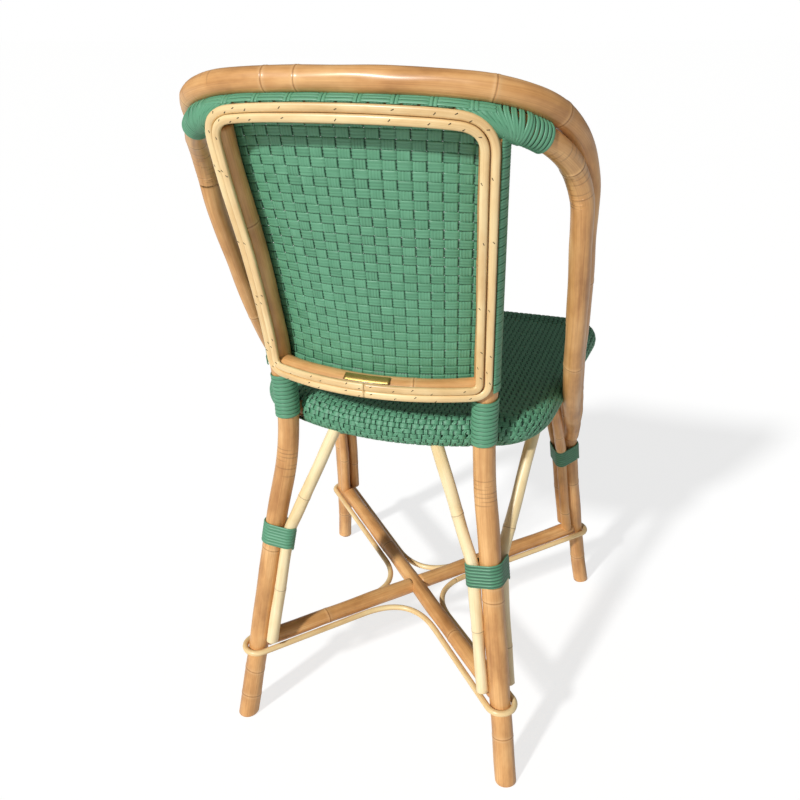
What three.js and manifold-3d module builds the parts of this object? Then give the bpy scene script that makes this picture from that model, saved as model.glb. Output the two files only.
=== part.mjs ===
// A rattan bistro armchair: bent poles, a woven seat and back, pale nailed strips, cord bindings.
// Millimetres, +Z up, front of the seat towards -Y, the sitter's left at +X.
// The origin is on the floor, under the centre of the chair's bounding box.
import * as THREE from 'three';
import { mergeVertices } from 'three/addons/utils/BufferGeometryUtils.js';
import { ConvexGeometry } from 'three/addons/geometries/ConvexGeometry.js';
import Module from 'manifold-3d';

const wasm = await Module();
wasm.setup();

// Poles and strips
const GAP = 0.3; // clearance between pieces that touch
const REAR_POLE_D = 27;
const FRONT_POLE_D = 23.5;
const HOOP_D = 24.5; // over the back
const HOOP_TIP_D = 21.5; // at the lower ends of the arms
const SEAT_POLE_D = 31;
const BACK_RAIL_D = 24;
const STRETCHER_D = 22;
const BRACE_D = 15.5;
const TRIM_W = 9.2; // one pale strip on the back
const TRIM_T = 4.4;
const LOOP_STRIP_D = 8;
const SEAT_STRIP_W = 9;

// Weave, windings and bindings
const SEAT_WRAP_T = 5.5; // woven layer around the seat pole
const SEAT_SHEET_T = 5;
const SEAT_SHEET_DIP = 3; // woven sheet below the top of the rolled rim
const SEAT_BLOCK = 10.3; // side of the woven sheet's high blocks
const SEAT_RELIEF = 2.1; // their height
const BACK_WEAVE_T = 3.2;
const BACK_SHEET_T = 2.2; // the weave between the posts, thinner than where it folds
const WINDING_T = 1.8;
const BINDING_T = 2.2;
const BINDING_H = 34;
const CORNER_WRAP_T = 2.4;

// Rear legs, which run on upwards as the posts of the back
const REAR_FOOT_X = 186;
const REAR_FOOT_Y = 261;
const REAR_SEAT_X = 121.5;
const REAR_SEAT_Y = 190;
const POST_TOP_X = 139;
const HOOP_BACK_Y = 289; // middle of the top rail
const HOOP_TOP_Z = 818;

// Front legs
const FRONT_FOOT_X = 224.5;
const FRONT_FOOT_Y = -196;
const FRONT_TOP_Y = -78.5;
const FRONT_LEG_BOW = 6.2; // how far the leg's middle lies in from a straight line

// Seat, measured on the middle line of its pole
const SEAT_Z = 451.5;
const SEAT_FRONT_Y = -210;
const SEAT_FRONT_HALF = 192;
const SEAT_SIDE_HALF = 170; // where the rear corner bend begins
const SEAT_SIDE_Y = 90.5;
const SEAT_REAR_BOW = 26.5;
const SEAT_REAR_CORNER_IN = 6; // how far the rear corner's bend point lies in from the side
const SEAT_REAR_CORNER_FORWARD = 10; // and forward of the rear rail's ends
const SEAT_FRONT_BOW = 5;
const SEAT_FRONT_CORNER = 42;

// Back
const BACK_RAIL_Z = 523;
const BACK_RAIL_BOW = 33;
const TRIM_CORNER = 28;
const TRIM_JOINT = 0.6; // butt joint in each pale strip
const WINDING_BOTTOM_Z = 449;
const WINDING_BELOW_RAIL = 21; // from the bottom rail's middle line down to the cord's top

// Hoops: the inner one is top rail and arms in one, the outer one follows it
const HOOP_OUT = 41.5; // the hoop's widest spot beyond the seat's rear corner bend
const HOOP_TIP_Y = -102;
const HOOP_TIP_Z = 326;
const HOOP_SPACING = 25.5; // between the two middle lines
const HOOP_BINDING_FROM_X = 161;
const HOOP_BINDING_TO_X = 180;
const CORNER_WRAP_FROM_X = 150;

// Under-frame
const STRETCHER_Z = 118; // at the rear legs
const FRONT_RISE = 10; // how much higher stretchers, loop strip and braces end at the front legs
const BINDING_Z = 286; // at the rear legs
const FRONT_BINDING_RISE = 5;
const BRACE_END_Z = 127;
const BRACE_TURN = 0.19; // radians that the inner rear braces turn away from square
const REAR_BRACE_TURN = 1.93; // radians that the rear side braces turn away from square
const FRONT_BRACE_TURN = 1.04; // radians that the front side braces turn away from square
const REAR_BRACE_REACH_X = 58; // where the inner rear braces meet the rear rail
const FRONT_BRACE_REACH_X = 104;
const REAR_SIDE_BRACE_Y = 86; // where the outer rear braces meet the side rails
const FRONT_SIDE_BRACE_Y = 15.5;
const LOBE_RADIUS = 72; // curve of the loop strip between two stretchers
const LOOP_Z = 111.5; // at the rear legs
const LOOP_JOINT = 0.6;
const STRIP_END_GAP = 2; // between a front leg and the ends of the strips under the seat

// Plain plate on the back's bottom rail, with no lettering
const PLATE_L = 44;
const PLATE_W = 9;
const PLATE_T = 0.8;

const OVERRUN = 6; // extra length of a cutting body past what it cuts

// Mesh fineness: counts, not sizes
const POLE_ARC_PARTS = 5;
const HOOP_STEPS = 40;
const HOOP_TAPER_SHARE = 0.32; // of the hoop's length, from each tip
const POST_STEPS = 22;
const SEAT_STEPS = 40;
const BRACE_STEPS = 8;
const LEG_STEPS = 8; // in a front leg
const BEND_STEPS = 6; // in each bend of the loop strips
const BLOCK_STEP = 3; // from one high block of the seat to the next, in blocks
const SHEET_ROWS = 8; // in the woven back
const SHEET_COLUMNS = 10;
const RAIL_STEPS = 8;

const rearR = REAR_POLE_D / 2;
const frontR = FRONT_POLE_D / 2;
const hoopR = HOOP_D / 2;
const seatR = SEAT_POLE_D / 2;
const railR = BACK_RAIL_D / 2;
const stretcherR = STRETCHER_D / 2;
const braceR = BRACE_D / 2;
const rimR = seatR + GAP + SEAT_WRAP_T;
const wrapR = hoopR + GAP + CORNER_WRAP_T;
const hoopHalfW = SEAT_SIDE_HALF + HOOP_OUT;
const windingTopZ = BACK_RAIL_Z - WINDING_BELOW_RAIL;
const UP = new THREE.Vector3(0, 0, 1);
const REAR = new THREE.Vector3(0, 1, 0);

const at = (x, y, z) => new THREE.Vector3(x, y, z);
const mix = THREE.MathUtils.lerp;

// Materials

function finish(color, roughness, metalness = 0) {
  return new THREE.MeshStandardMaterial({ color, roughness, metalness });
}

const rattan = finish(0xc9935a, 0.38);
const paleStrip = finish(0xf0d9a6, 0.45);
const paleRattan = finish(0xe9cf95, 0.45);
const greenCord = finish(0x5fae83, 0.35);
const brass = finish(0xb59a55, 0.35, 0.9);

// Solids

function solid(geometry) {
  geometry.deleteAttribute('normal');
  geometry.deleteAttribute('uv');
  const merged = mergeVertices(geometry);
  return new wasm.Manifold(new wasm.Mesh({
    numProp: 3,
    vertProperties: Float32Array.from(merged.attributes.position.array),
    triVerts: Uint32Array.from(merged.index.array),
  }));
}

function geometryOf(body) {
  const mesh = body.getMesh();
  const geometry = new THREE.BufferGeometry();
  geometry.setAttribute('position', new THREE.BufferAttribute(mesh.vertProperties, 3));
  geometry.setIndex(new THREE.BufferAttribute(mesh.triVerts, 1));
  geometry.computeVertexNormals();
  return geometry;
}

function cut(body, ...tools) {
  return tools.reduce((left, tool) => left.subtract(tool), body);
}

function join(first, ...others) {
  return others.reduce((all, other) => all.add(other), first);
}

const chair = new THREE.Group();

function place(name, body, material) {
  const mesh = new THREE.Mesh(geometryOf(body), material);
  mesh.name = name;
  chair.add(mesh);
}

// Curves

function spline(points) {
  return new THREE.CatmullRomCurve3(points, false, 'centripetal');
}

// The spot on a curve where one coordinate has a value, between two shares of its length
function spotWhere(curve, axis, value, from = 0, to = 1) {
  let low = from;
  let high = to;
  const rising = curve.getPoint(to)[axis] > curve.getPoint(from)[axis];
  for (let turn = 0; turn < 40; turn += 1) {
    const middle = (low + high) / 2;
    if ((curve.getPoint(middle)[axis] < value) === rising) {
      low = middle;
    } else {
      high = middle;
    }
  }
  return { share: low, point: curve.getPoint(low), tangent: curve.getTangent(low) };
}

function stretch(curve, from, to, steps) {
  return Array.from({ length: steps + 1 }, (_, i) => curve.getPoint(mix(from, to, i / steps)));
}

function mirrored(points, side) {
  return points.map((p) => at(side * p.x, p.y, p.z));
}

// A round pole along a curve
function pole(curve, radius, steps, arcParts = POLE_ARC_PARTS) {
  const circle = new THREE.Shape().absarc(0, 0, radius, 0, 2 * Math.PI);
  return solid(new THREE.ExtrudeGeometry(circle, {
    extrudePath: curve, steps, curveSegments: arcParts, bevelEnabled: false,
  }));
}

function straightPole(from, to, radius) {
  return pole(new THREE.LineCurve3(from, to), radius, 1);
}

// Sections, in millimetres to the outer side and upwards, counterclockwise

function roundSection(radius, sides) {
  return Array.from({ length: sides }, (_, i) => {
    const angle = (2 * Math.PI * i) / sides;
    return new THREE.Vector2(radius * Math.cos(angle), radius * Math.sin(angle));
  });
}

// The radius of a section's corners that keeps its flat sides outside a circle
const around = (radius) => radius / Math.cos(Math.PI / (2 * POLE_ARC_PARTS));

function boxSection(left, right, low, high) {
  const corners = [[left, low], [right, low], [right, high], [left, high]];
  return corners.map(([a, b]) => new THREE.Vector2(a, b));
}

// A strip with a flat foot at the height "low" and a rounded top
function stripSection(width, low, thickness, parts = 4) {
  const top = Array.from({ length: parts + 1 }, (_, i) => {
    const angle = (Math.PI * i) / parts;
    const rise = Math.sin(angle) ** 0.6;
    return new THREE.Vector2((width / 2) * Math.cos(angle), low + thickness * mix(0.35, 1, rise));
  });
  return [new THREE.Vector2(-width / 2, low), new THREE.Vector2(width / 2, low), ...top];
}

// Part of a pipe wall between two angles from the outer side, all of it outside the radius
function wallSection(radius, thickness, from, to, parts = 5) {
  const inner = radius / Math.cos((to - from) / (2 * parts));
  const arc = (reach, start, end) => Array.from({ length: parts + 1 }, (_, i) => {
    const angle = mix(start, end, i / parts);
    return new THREE.Vector2(reach * Math.cos(angle), reach * Math.sin(angle));
  });
  return [...arc(inner + thickness, from, to), ...arc(inner, to, from)];
}

// Sweep a section along points. "ups" says which way the section's top looks at each point.
function sweep(points, ups, section, closed = false, sizes = []) {
  const count = points.length;
  const rings = points.map((point, i) => {
    const ahead = points[closed ? (i + 1) % count : Math.min(i + 1, count - 1)];
    const behind = points[closed ? (i + count - 1) % count : Math.max(i - 1, 0)];
    const along = ahead.clone().sub(behind).normalize();
    const side = ups[i].clone().cross(along).normalize();
    const top = along.clone().cross(side);
    const size = sizes[i] ?? 1;
    return section.map((p) => (
      point.clone().addScaledVector(side, size * p.x).addScaledVector(top, size * p.y)));
  });
  return solid(skin(rings, section, closed));
}

function skin(rings, section, closed) {
  const size = section.length;
  const index = [];
  const bands = closed ? rings.length : rings.length - 1;
  for (let i = 0; i < bands; i += 1) {
    const here = i * size;
    const next = ((i + 1) % rings.length) * size;
    for (let k = 0; k < size; k += 1) {
      const m = (k + 1) % size;
      index.push(here + k, here + m, next + m, here + k, next + m, next + k);
    }
  }
  if (!closed) {
    const end = (rings.length - 1) * size;
    THREE.ShapeUtils.triangulateShape(section, []).forEach(([a, b, c]) => {
      index.push(c, b, a, end + a, end + b, end + c);
    });
  }
  const geometry = new THREE.BufferGeometry();
  const positions = rings.flat().flatMap((p) => [p.x, p.y, p.z]);
  geometry.setAttribute('position', new THREE.Float32BufferAttribute(positions, 3));
  geometry.setIndex(index);
  return geometry;
}

// A slab between two grids of points, the first one being its outer face
function slab(front, back) {
  const rows = front.length;
  const columns = front[0].length;
  const all = [...front.flat(), ...back.flat()];
  const index = [];
  const quad = (a, b, c, d) => index.push(a, b, c, a, c, d);
  const f = (r, c) => r * columns + c;
  const k = (r, c) => rows * columns + r * columns + c;
  for (let r = 0; r < rows - 1; r += 1) {
    for (let c = 0; c < columns - 1; c += 1) {
      quad(f(r, c), f(r, c + 1), f(r + 1, c + 1), f(r + 1, c));
      quad(k(r, c), k(r + 1, c), k(r + 1, c + 1), k(r, c + 1));
    }
    quad(f(r, 0), f(r + 1, 0), k(r + 1, 0), k(r, 0));
    quad(f(r, columns - 1), k(r, columns - 1), k(r + 1, columns - 1), f(r + 1, columns - 1));
  }
  for (let c = 0; c < columns - 1; c += 1) {
    quad(f(0, c), k(0, c), k(0, c + 1), f(0, c + 1));
    quad(f(rows - 1, c), f(rows - 1, c + 1), k(rows - 1, c + 1), k(rows - 1, c));
  }
  const geometry = new THREE.BufferGeometry();
  geometry.setAttribute('position', new THREE.Float32BufferAttribute(all.flatMap((p) => [p.x, p.y, p.z]), 3));
  geometry.setIndex(index);
  return solid(geometry);
}

function block(width, depth, height, x, y, z) {
  const box = new THREE.BoxGeometry(width, depth, height);
  box.translate(x, y, z);
  return solid(box);
}

// The floor: everything below it is cut away from the feet
const roomW = 4 * FRONT_FOOT_X;
const floorCut = block(roomW, roomW, roomW, 0, 0, -roomW / 2);

// Inner hoop, as shares of its half width, its depth and its height above its tip
const hoopShares = [
  [0.918, 0, 0], [0.93, 0.055, 0.05], [0.945, 0.16, 0.115], [0.957, 0.28, 0.19], [0.969, 0.405, 0.29],
  [0.979, 0.497, 0.402], [0.989, 0.57, 0.518], [0.995, 0.628, 0.622], [0.998, 0.676, 0.709],
  [1, 0.703, 0.765], [0.994, 0.728, 0.825], [0.96, 0.78, 0.884], [0.896, 0.854, 0.932],
  [0.787, 0.925, 0.967], [0.648, 0.964, 0.986], [0.48, 0.984, 0.995], [0.25, 0.997, 0.999], [0, 1, 1],
];

const hoopDepth = HOOP_BACK_Y - HOOP_TIP_Y;
const hoopRise = HOOP_TOP_Z - HOOP_TIP_Z;
const halfHoop = hoopShares.map(([w, d, h]) => (
  at(w * hoopHalfW, HOOP_TIP_Y + d * hoopDepth, HOOP_TIP_Z + h * hoopRise)));
const bothHalves = (half) => [...half, ...mirrored(half, -1).reverse().slice(1)];
const hoopLine = spline(bothHalves(halfHoop));

// Where the outer hoop lies from the inner one: shares outwards, forwards and upwards
const outerHoopShares = [
  [0, 0.6, 0.8], [0, 0.6, 0.8], [0, 0.65, 0.7], [0, 0.75, 0.65], [0, 0.8, 0.6],
  [0.02, 0.85, 0.5], [0.04, 0.9, 0.45], [0.05, 0.9, 0.42], [0.05, 0.9, 0.4],
  [0.05, 0.85, 0.45], [0.06, 0.7, 0.6], [0.08, 0.5, 0.8], [0.12, 0.25, 0.95],
  [0.12, 0.08, 1], [0.08, 0, 1], [0.04, 0, 1], [0, 0, 1], [0, 0, 1],
];

const outerHalf = halfHoop.map((point, i) => {
  const before = halfHoop[Math.max(i - 1, 0)];
  const after = halfHoop[Math.min(i + 1, halfHoop.length - 1)];
  const along = after.clone().sub(before).normalize();
  const [out, forward, up] = outerHoopShares[i];
  const away = at(out, -forward, up);
  away.addScaledVector(along, -away.dot(along)).normalize();
  return point.clone().addScaledVector(away, HOOP_SPACING);
});
const outerHoopLine = spline(bothHalves(outerHalf));

// How far the taper of the arms has run: 0 at a tip, 1 from where the hoop is full
const hoopShare = (share) => Math.min(share, 1 - share) / HOOP_TAPER_SHARE;

// A body around a hoop, with its steps closer together where the hoop bends
function hoopPole(line, radius) {
  const points = stretch(line, 0, 1, HOOP_STEPS);
  const outwards = stretch(outerHoopLine, 0, 1, HOOP_STEPS);
  const inwards = stretch(hoopLine, 0, 1, HOOP_STEPS);
  const ups = outwards.map((p, i) => p.sub(inwards[i]));
  const sizes = points.map((_, i) => mix(HOOP_TIP_D / HOOP_D, 1, Math.min(1, hoopShare(i / HOOP_STEPS))));
  return sweep(points, ups, roundSection(radius, 2 * POLE_ARC_PARTS), false, sizes);
}

const hoopMiddle = (x) => spotWhere(hoopLine, 'x', x, 0.3, 0.7).point;

// Rear legs and posts: shares of the way from the seat to the top rail
const postShares = [[0.27, 0.157, 0.25], [0.545, 0.489, 0.584], [0.82, 0.81, 0.824]];
const hoopAtPost = hoopMiddle(POST_TOP_X);
const postTop = at(POST_TOP_X, hoopAtPost.y + hoopR - rearR, hoopAtPost.z);
const rearSeat = at(REAR_SEAT_X, REAR_SEAT_Y, SEAT_Z);
const rearFoot = at(REAR_FOOT_X, REAR_FOOT_Y, 0);
const belowFloor = rearFoot.clone().lerp(rearSeat, -OVERRUN * 2 / SEAT_Z);
const rearLine = (side) => spline(mirrored([
  belowFloor,
  rearFoot.clone().lerp(rearSeat, 0.3),
  rearFoot.clone().lerp(rearSeat, 0.65),
  rearFoot.clone().lerp(rearSeat, 0.93),
  ...postShares.map(([x, y, z]) => at(
    mix(REAR_SEAT_X, postTop.x, x), mix(REAR_SEAT_Y, postTop.y, y), mix(SEAT_Z, postTop.z, z))),
  postTop,
], side));

// The seat pole's middle line in plan, clockwise from the middle of the rear rail
const seatRearY = REAR_SEAT_Y - rearR - seatR - GAP;

function seatOutline() {
  const outline = new THREE.Shape();
  const half = (side) => {
    const flare = (SEAT_FRONT_HALF - SEAT_SIDE_HALF) / (SEAT_SIDE_Y - SEAT_FRONT_Y);
    const cornerHalf = SEAT_FRONT_HALF - flare * SEAT_FRONT_CORNER;
    return {
      rear: [side * REAR_SEAT_X, seatRearY],
      rearBend: [side * (SEAT_SIDE_HALF - SEAT_REAR_CORNER_IN), seatRearY - SEAT_REAR_CORNER_FORWARD],
      side: [side * SEAT_SIDE_HALF, SEAT_SIDE_Y],
      sideFront: [side * cornerHalf, SEAT_FRONT_Y + SEAT_FRONT_CORNER],
      frontBend: [side * SEAT_FRONT_HALF, SEAT_FRONT_Y],
      front: [side * (SEAT_FRONT_HALF - SEAT_FRONT_CORNER), SEAT_FRONT_Y],
    };
  };
  const left = half(1);
  const right = half(-1);
  outline.moveTo(0, seatRearY + SEAT_REAR_BOW);
  outline.quadraticCurveTo(REAR_SEAT_X / 2, seatRearY + SEAT_REAR_BOW, ...left.rear);
  outline.quadraticCurveTo(...left.rearBend, ...left.side);
  outline.lineTo(...left.sideFront);
  outline.quadraticCurveTo(...left.frontBend, ...left.front);
  outline.quadraticCurveTo(0, SEAT_FRONT_Y - SEAT_FRONT_BOW, ...right.front);
  outline.quadraticCurveTo(...right.frontBend, ...right.sideFront);
  outline.lineTo(...right.side);
  outline.quadraticCurveTo(...right.rearBend, ...right.rear);
  outline.quadraticCurveTo(-REAR_SEAT_X / 2, seatRearY + SEAT_REAR_BOW, 0, seatRearY + SEAT_REAR_BOW);
  return outline;
}

const seatPlan = seatOutline().getSpacedPoints(SEAT_STEPS).slice(0, SEAT_STEPS);
const seatLine = seatPlan.map((p) => at(p.x, p.y, SEAT_Z));
const seatSweep = (section) => sweep(seatLine, seatLine.map(() => UP), section, true);

// The seat pole's middle line where a test first holds, walking clockwise or back from the rear
function seatSpot(axis, value, side, forward) {
  for (let i = 0; i < SEAT_STEPS; i += 1) {
    const a = seatLine[forward ? i : SEAT_STEPS - 1 - i];
    const b = seatLine[(forward ? i + 1 : 2 * SEAT_STEPS - 2 - i) % SEAT_STEPS];
    const crosses = (a[axis] - value) * (b[axis] - value) <= 0;
    if (crosses && a.x * side >= 0 && b.x * side >= 0) {
      return a.clone().lerp(b, (value - a[axis]) / (b[axis] - a[axis] || 1));
    }
  }
  return seatLine[0].clone();
}

// Front legs, bowed a little inwards, from the floor to the side rail
const frontTop = seatSpot('y', FRONT_TOP_Y, 1, true);
const frontFoot = at(FRONT_FOOT_X, FRONT_FOOT_Y, 0);
const frontUnder = frontFoot.clone().lerp(frontTop, -OVERRUN * 2 / SEAT_Z);
const frontMiddle = frontFoot.clone().lerp(frontTop, 0.5).sub(at(2 * FRONT_LEG_BOW, 0, 0));
const frontLine = (side) => (
  new THREE.QuadraticBezierCurve3(...mirrored([frontUnder, frontMiddle, frontTop], side)));

const seatPole = seatSweep(roundSection(seatR, 2 * POLE_ARC_PARTS));
const seatPoleRoom = seatSweep(roundSection(seatR + GAP, 2 * POLE_ARC_PARTS));
const seatRimRoom = seatSweep(roundSection(around(rimR + GAP), 2 * POLE_ARC_PARTS));

const sides = [['left', 1], ['right', -1]];
const rearLines = sides.map(([, side]) => rearLine(side));
const frontLines = sides.map(([, side]) => frontLine(side));
const rearRooms = rearLines.map((line) => pole(line, rearR + GAP, POST_STEPS));
const frontRooms = frontLines.map((line) => pole(line, frontR + GAP, LEG_STEPS));
const legRooms = [...rearRooms, ...frontRooms];
const hoopRoom = hoopPole(hoopLine, hoopR + GAP);
const outerHoopRoom = hoopPole(outerHoopLine, hoopR + GAP);

// The back as a height field: the depth of the posts' and rails' common middle surface
const postSpot = (z) => spotWhere(rearLines[0], 'z', z, 0.3, 1).point;
const railEnd = postSpot(BACK_RAIL_Z);
const railPoint = (x) => {
  const bow = BACK_RAIL_BOW * (1 - (x / railEnd.x) ** 2);
  return at(x, railEnd.y + rearR - railR + bow, BACK_RAIL_Z);
};

function backDepth(x, z) {
  const top = hoopMiddle(x);
  const height = Math.min(z, postTop.z);
  const share = (z - BACK_RAIL_Z) / (top.z - BACK_RAIL_Z);
  const low = railPoint(x).y + railR - rearR - railEnd.y;
  const high = top.y + hoopR - rearR - postTop.y;
  return postSpot(height).y + (1 - share) * low + share * high;
}

function backNormal(x, z) {
  const reach = BACK_RAIL_D;
  const acrossSlope = (backDepth(x + reach, z) - backDepth(x - reach, z)) / (2 * reach);
  const middle = Math.min(z, postTop.z - reach);
  const upSlope = (backDepth(x, middle + reach) - backDepth(x, middle - reach)) / (2 * reach);
  return at(-acrossSlope, 1, -upSlope).normalize();
}

const railLine = (reach) => new THREE.CatmullRomCurve3(
  Array.from({ length: RAIL_STEPS + 1 }, (_, i) => railPoint(mix(-reach, reach, i / RAIL_STEPS))));

function rearLegs() {
  sides.forEach(([name], i) => {
    const whole = pole(rearLines[i], rearR, POST_STEPS);
    place(`rear_leg_${name}`, cut(whole, floorCut, hoopRoom), rattan);
  });
}

function frontLegs() {
  sides.forEach(([name], i) => {
    const whole = pole(frontLines[i], frontR, LEG_STEPS);
    place(`front_leg_${name}`, cut(whole, floorCut, seatRimRoom), rattan);
  });
}

function hoops() {
  const rooms = [...frontRooms, seatRimRoom];
  place('inner_hoop', cut(hoopPole(hoopLine, hoopR), ...rooms), rattan);
  place('outer_hoop', cut(hoopPole(outerHoopLine, hoopR), hoopRoom, ...rooms), rattan);
}

function backRail() {
  place('back_bottom_rail', cut(pole(railLine(railEnd.x), railR, 2 * RAIL_STEPS), ...rearRooms), rattan);
}

// Pale strips around the back, one outside the other, each with its butt joint at the bottom
function trimOutline(offset) {
  const bend = TRIM_CORNER + offset;
  const sideX = (z) => postSpot(Math.min(z, postTop.z)).x + offset;
  const topZ = (x) => hoopMiddle(Math.min(x, POST_TOP_X)).z + offset;
  const bottomZ = BACK_RAIL_Z - offset;
  const low = sideX(bottomZ + bend);
  const highZ = postTop.z + offset - bend;
  const high = sideX(highZ);
  const path = new THREE.Path();
  path.moveTo(TRIM_JOINT / 2, bottomZ);
  [1 / 3, 2 / 3, 1].forEach((share) => path.lineTo(share * (low - bend), bottomZ));
  path.quadraticCurveTo(low, bottomZ, sideX(bottomZ + bend), bottomZ + bend);
  [1 / 5, 2 / 5, 3 / 5, 4 / 5, 1].forEach((share) => {
    const z = mix(bottomZ + bend, highZ, share);
    path.lineTo(sideX(z), z);
  });
  path.quadraticCurveTo(sideX(postTop.z), topZ(high), high - bend, topZ(high - bend));
  [2 / 3, 1 / 3, 0].forEach((share) => path.lineTo(share * (high - bend), topZ(share * (high - bend))));
  return path.getPoints(4);
}

function trimPath(offset) {
  const half = trimOutline(offset);
  const all = [...half, ...half.slice(0, -1).reverse().map((p) => new THREE.Vector2(-p.x, p.y))];
  const ups = all.map((p) => backNormal(p.x, p.y));
  const points = all.map((p, i) => at(p.x, backDepth(p.x, p.y), p.y).addScaledVector(ups[i], rearR + GAP));
  return { points, ups };
}

function trims() {
  [['trim_strip_outer', 1], ['trim_strip_inner', -1]].forEach(([name, side]) => {
    const { points, ups } = trimPath((side * (TRIM_W + 2 * GAP)) / 2);
    place(name, cut(sweep(points, ups, stripSection(TRIM_W, GAP, TRIM_T)), hoopRoom), paleStrip);
  });
}

// The woven back: a sheet in front of the frame that folds around the posts and both rails
function wrapAround(points, radius, from, to) {
  const ups = points.map((p) => backNormal(p.x, Math.min(Math.max(p.z, BACK_RAIL_Z), postTop.z)));
  return sweep(points, ups, wallSection(radius + 2 * GAP, BACK_WEAVE_T, from, to));
}

function backWeave() {
  const front = -0.56 * Math.PI;
  const rearEdge = Math.acos((TRIM_W + 2 * GAP) / (rearR + GAP));
  const postFrom = (line) => spotWhere(line, 'z', windingTopZ + GAP, 0.3, 1).share;
  const postPart = (line) => stretch(line, postFrom(line), 1, 8);
  const leftPost = postPart(rearLines[0]);
  const rightPost = postPart(rearLines[1]).reverse();
  const topEnd = CORNER_WRAP_FROM_X - 3 * GAP;
  const from = spotWhere(hoopLine, 'x', topEnd, 0.3, 0.7).share;
  const top = stretch(hoopLine, from, 1 - from, 12);
  const reach = railEnd.x + rearR;
  const bottom = Array.from({ length: SHEET_COLUMNS + 1 }, (_, i) => (
    railPoint(mix(-reach, reach, i / SHEET_COLUMNS))));
  const depth = (x, z, off) => at(x, backDepth(x, z), z).addScaledVector(backNormal(x, z), -off);
  const grid = (off) => Array.from({ length: SHEET_ROWS + 1 }, (_, r) => {
    const level = mix(BACK_RAIL_Z, postTop.z, r / SHEET_ROWS);
    return Array.from({ length: SHEET_COLUMNS + 1 }, (__, c) => {
      const x = mix(-1, 1, c / SHEET_COLUMNS) * postSpot(level).x;
      return depth(x, mix(BACK_RAIL_Z, hoopMiddle(x).z, r / SHEET_ROWS), off);
    });
  });
  const sheetBack = rearR + 3 * GAP;
  const sheet = slab(grid(sheetBack + BACK_SHEET_T), grid(sheetBack));
  const whole = join(
    sheet,
    wrapAround(leftPost, rearR, front, rearEdge),
    wrapAround(rightPost, rearR, front, rearEdge),
    wrapAround(top, hoopR, front, rearEdge),
    wrapAround(bottom, railR, front, rearEdge),
  );
  const railRoom = pole(railLine(railEnd.x + rearR + OVERRUN), railR + GAP, 2 * RAIL_STEPS);
  const cornerRooms = sides.map(([, side]) => (
    hoopSleeve(CORNER_WRAP_FROM_X - GAP, HOOP_BINDING_TO_X, side, wrapR + 2 * GAP)));
  const rooms = [...rearRooms, ...cornerRooms, hoopRoom, outerHoopRoom, railRoom];
  place('back_weave', cut(whole, ...rooms), greenCord);
}

// Cord wound around a pole between two shares of its length, not yet cut
function sleeve(line, from, to, radius, steps) {
  return pole(spline(stretch(line, from, to, steps)), radius, steps);
}

function postSleeve(line, extra) {
  const from = spotWhere(line, 'z', WINDING_BOTTOM_Z - extra, 0.3, 1).share;
  const to = spotWhere(line, 'z', windingTopZ + extra, 0.3, 1).share;
  return sleeve(line, from, to, rearR + GAP + WINDING_T + extra, 3);
}

function hoopSleeve(nearX, farX, side, radius) {
  const [near, far] = [nearX, farX].map((x) => spotWhere(hoopLine, 'x', x, 0.25, 0.7).share);
  const [from, to] = side > 0 ? [far, near] : [1 - near, 1 - far];
  return sleeve(hoopLine, from, to, radius, 2);
}

function windings() {
  sides.forEach(([name], i) => {
    const body = postSleeve(rearLines[i], 0);
    place(`post_winding_${name}`, cut(body, rearRooms[i], seatPoleRoom), greenCord);
  });
}

function hoopWraps() {
  const rooms = [hoopRoom, outerHoopRoom, ...rearRooms];
  sides.forEach(([name, side]) => {
    const binding = hoopSleeve(HOOP_BINDING_FROM_X, HOOP_BINDING_TO_X, side, wrapR);
    const bindingRoom = hoopSleeve(HOOP_BINDING_FROM_X - GAP, HOOP_BINDING_TO_X, side, wrapR + GAP);
    const wrap = hoopSleeve(CORNER_WRAP_FROM_X, HOOP_BINDING_FROM_X, side, wrapR);
    place(`hoop_binding_${name}`, cut(binding, ...rooms), greenCord);
    place(`corner_wrap_${name}`, cut(wrap, bindingRoom, ...rooms), greenCord);
  });
}

// Seat

function seatStripPath(isFront) {
  const legY = spotWhere(frontLines[0], 'z', SEAT_Z - rimR).point.y;
  const reach = frontR + GAP + STRIP_END_GAP;
  const endY = isFront ? legY - reach : legY + reach;
  const [leftEnd, rightEnd] = sides.map(([, side]) => seatSpot('y', endY, side, side > 0));
  const between = seatLine.filter(({ y }) => (
    isFront ? y < endY - STRIP_END_GAP : y > endY + STRIP_END_GAP));
  const left = between.filter((p) => p.x >= 0);
  const right = between.filter((p) => p.x < 0);
  return isFront ? [leftEnd, ...left, ...right, rightEnd] : [rightEnd, ...right, ...left, leftEnd];
}

function seatParts() {
  place('seat_frame', seatPole, rattan);
  const strip = stripSection(SEAT_STRIP_W, seatR + GAP, SEAT_WRAP_T);
  const underside = strip.map((p) => p.multiplyScalar(-1));
  ['front', 'rear'].forEach((name) => {
    const points = seatStripPath(name === 'front');
    place(`seat_strip_${name}`, sweep(points, points.map(() => UP), underside), paleStrip);
  });
}

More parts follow.
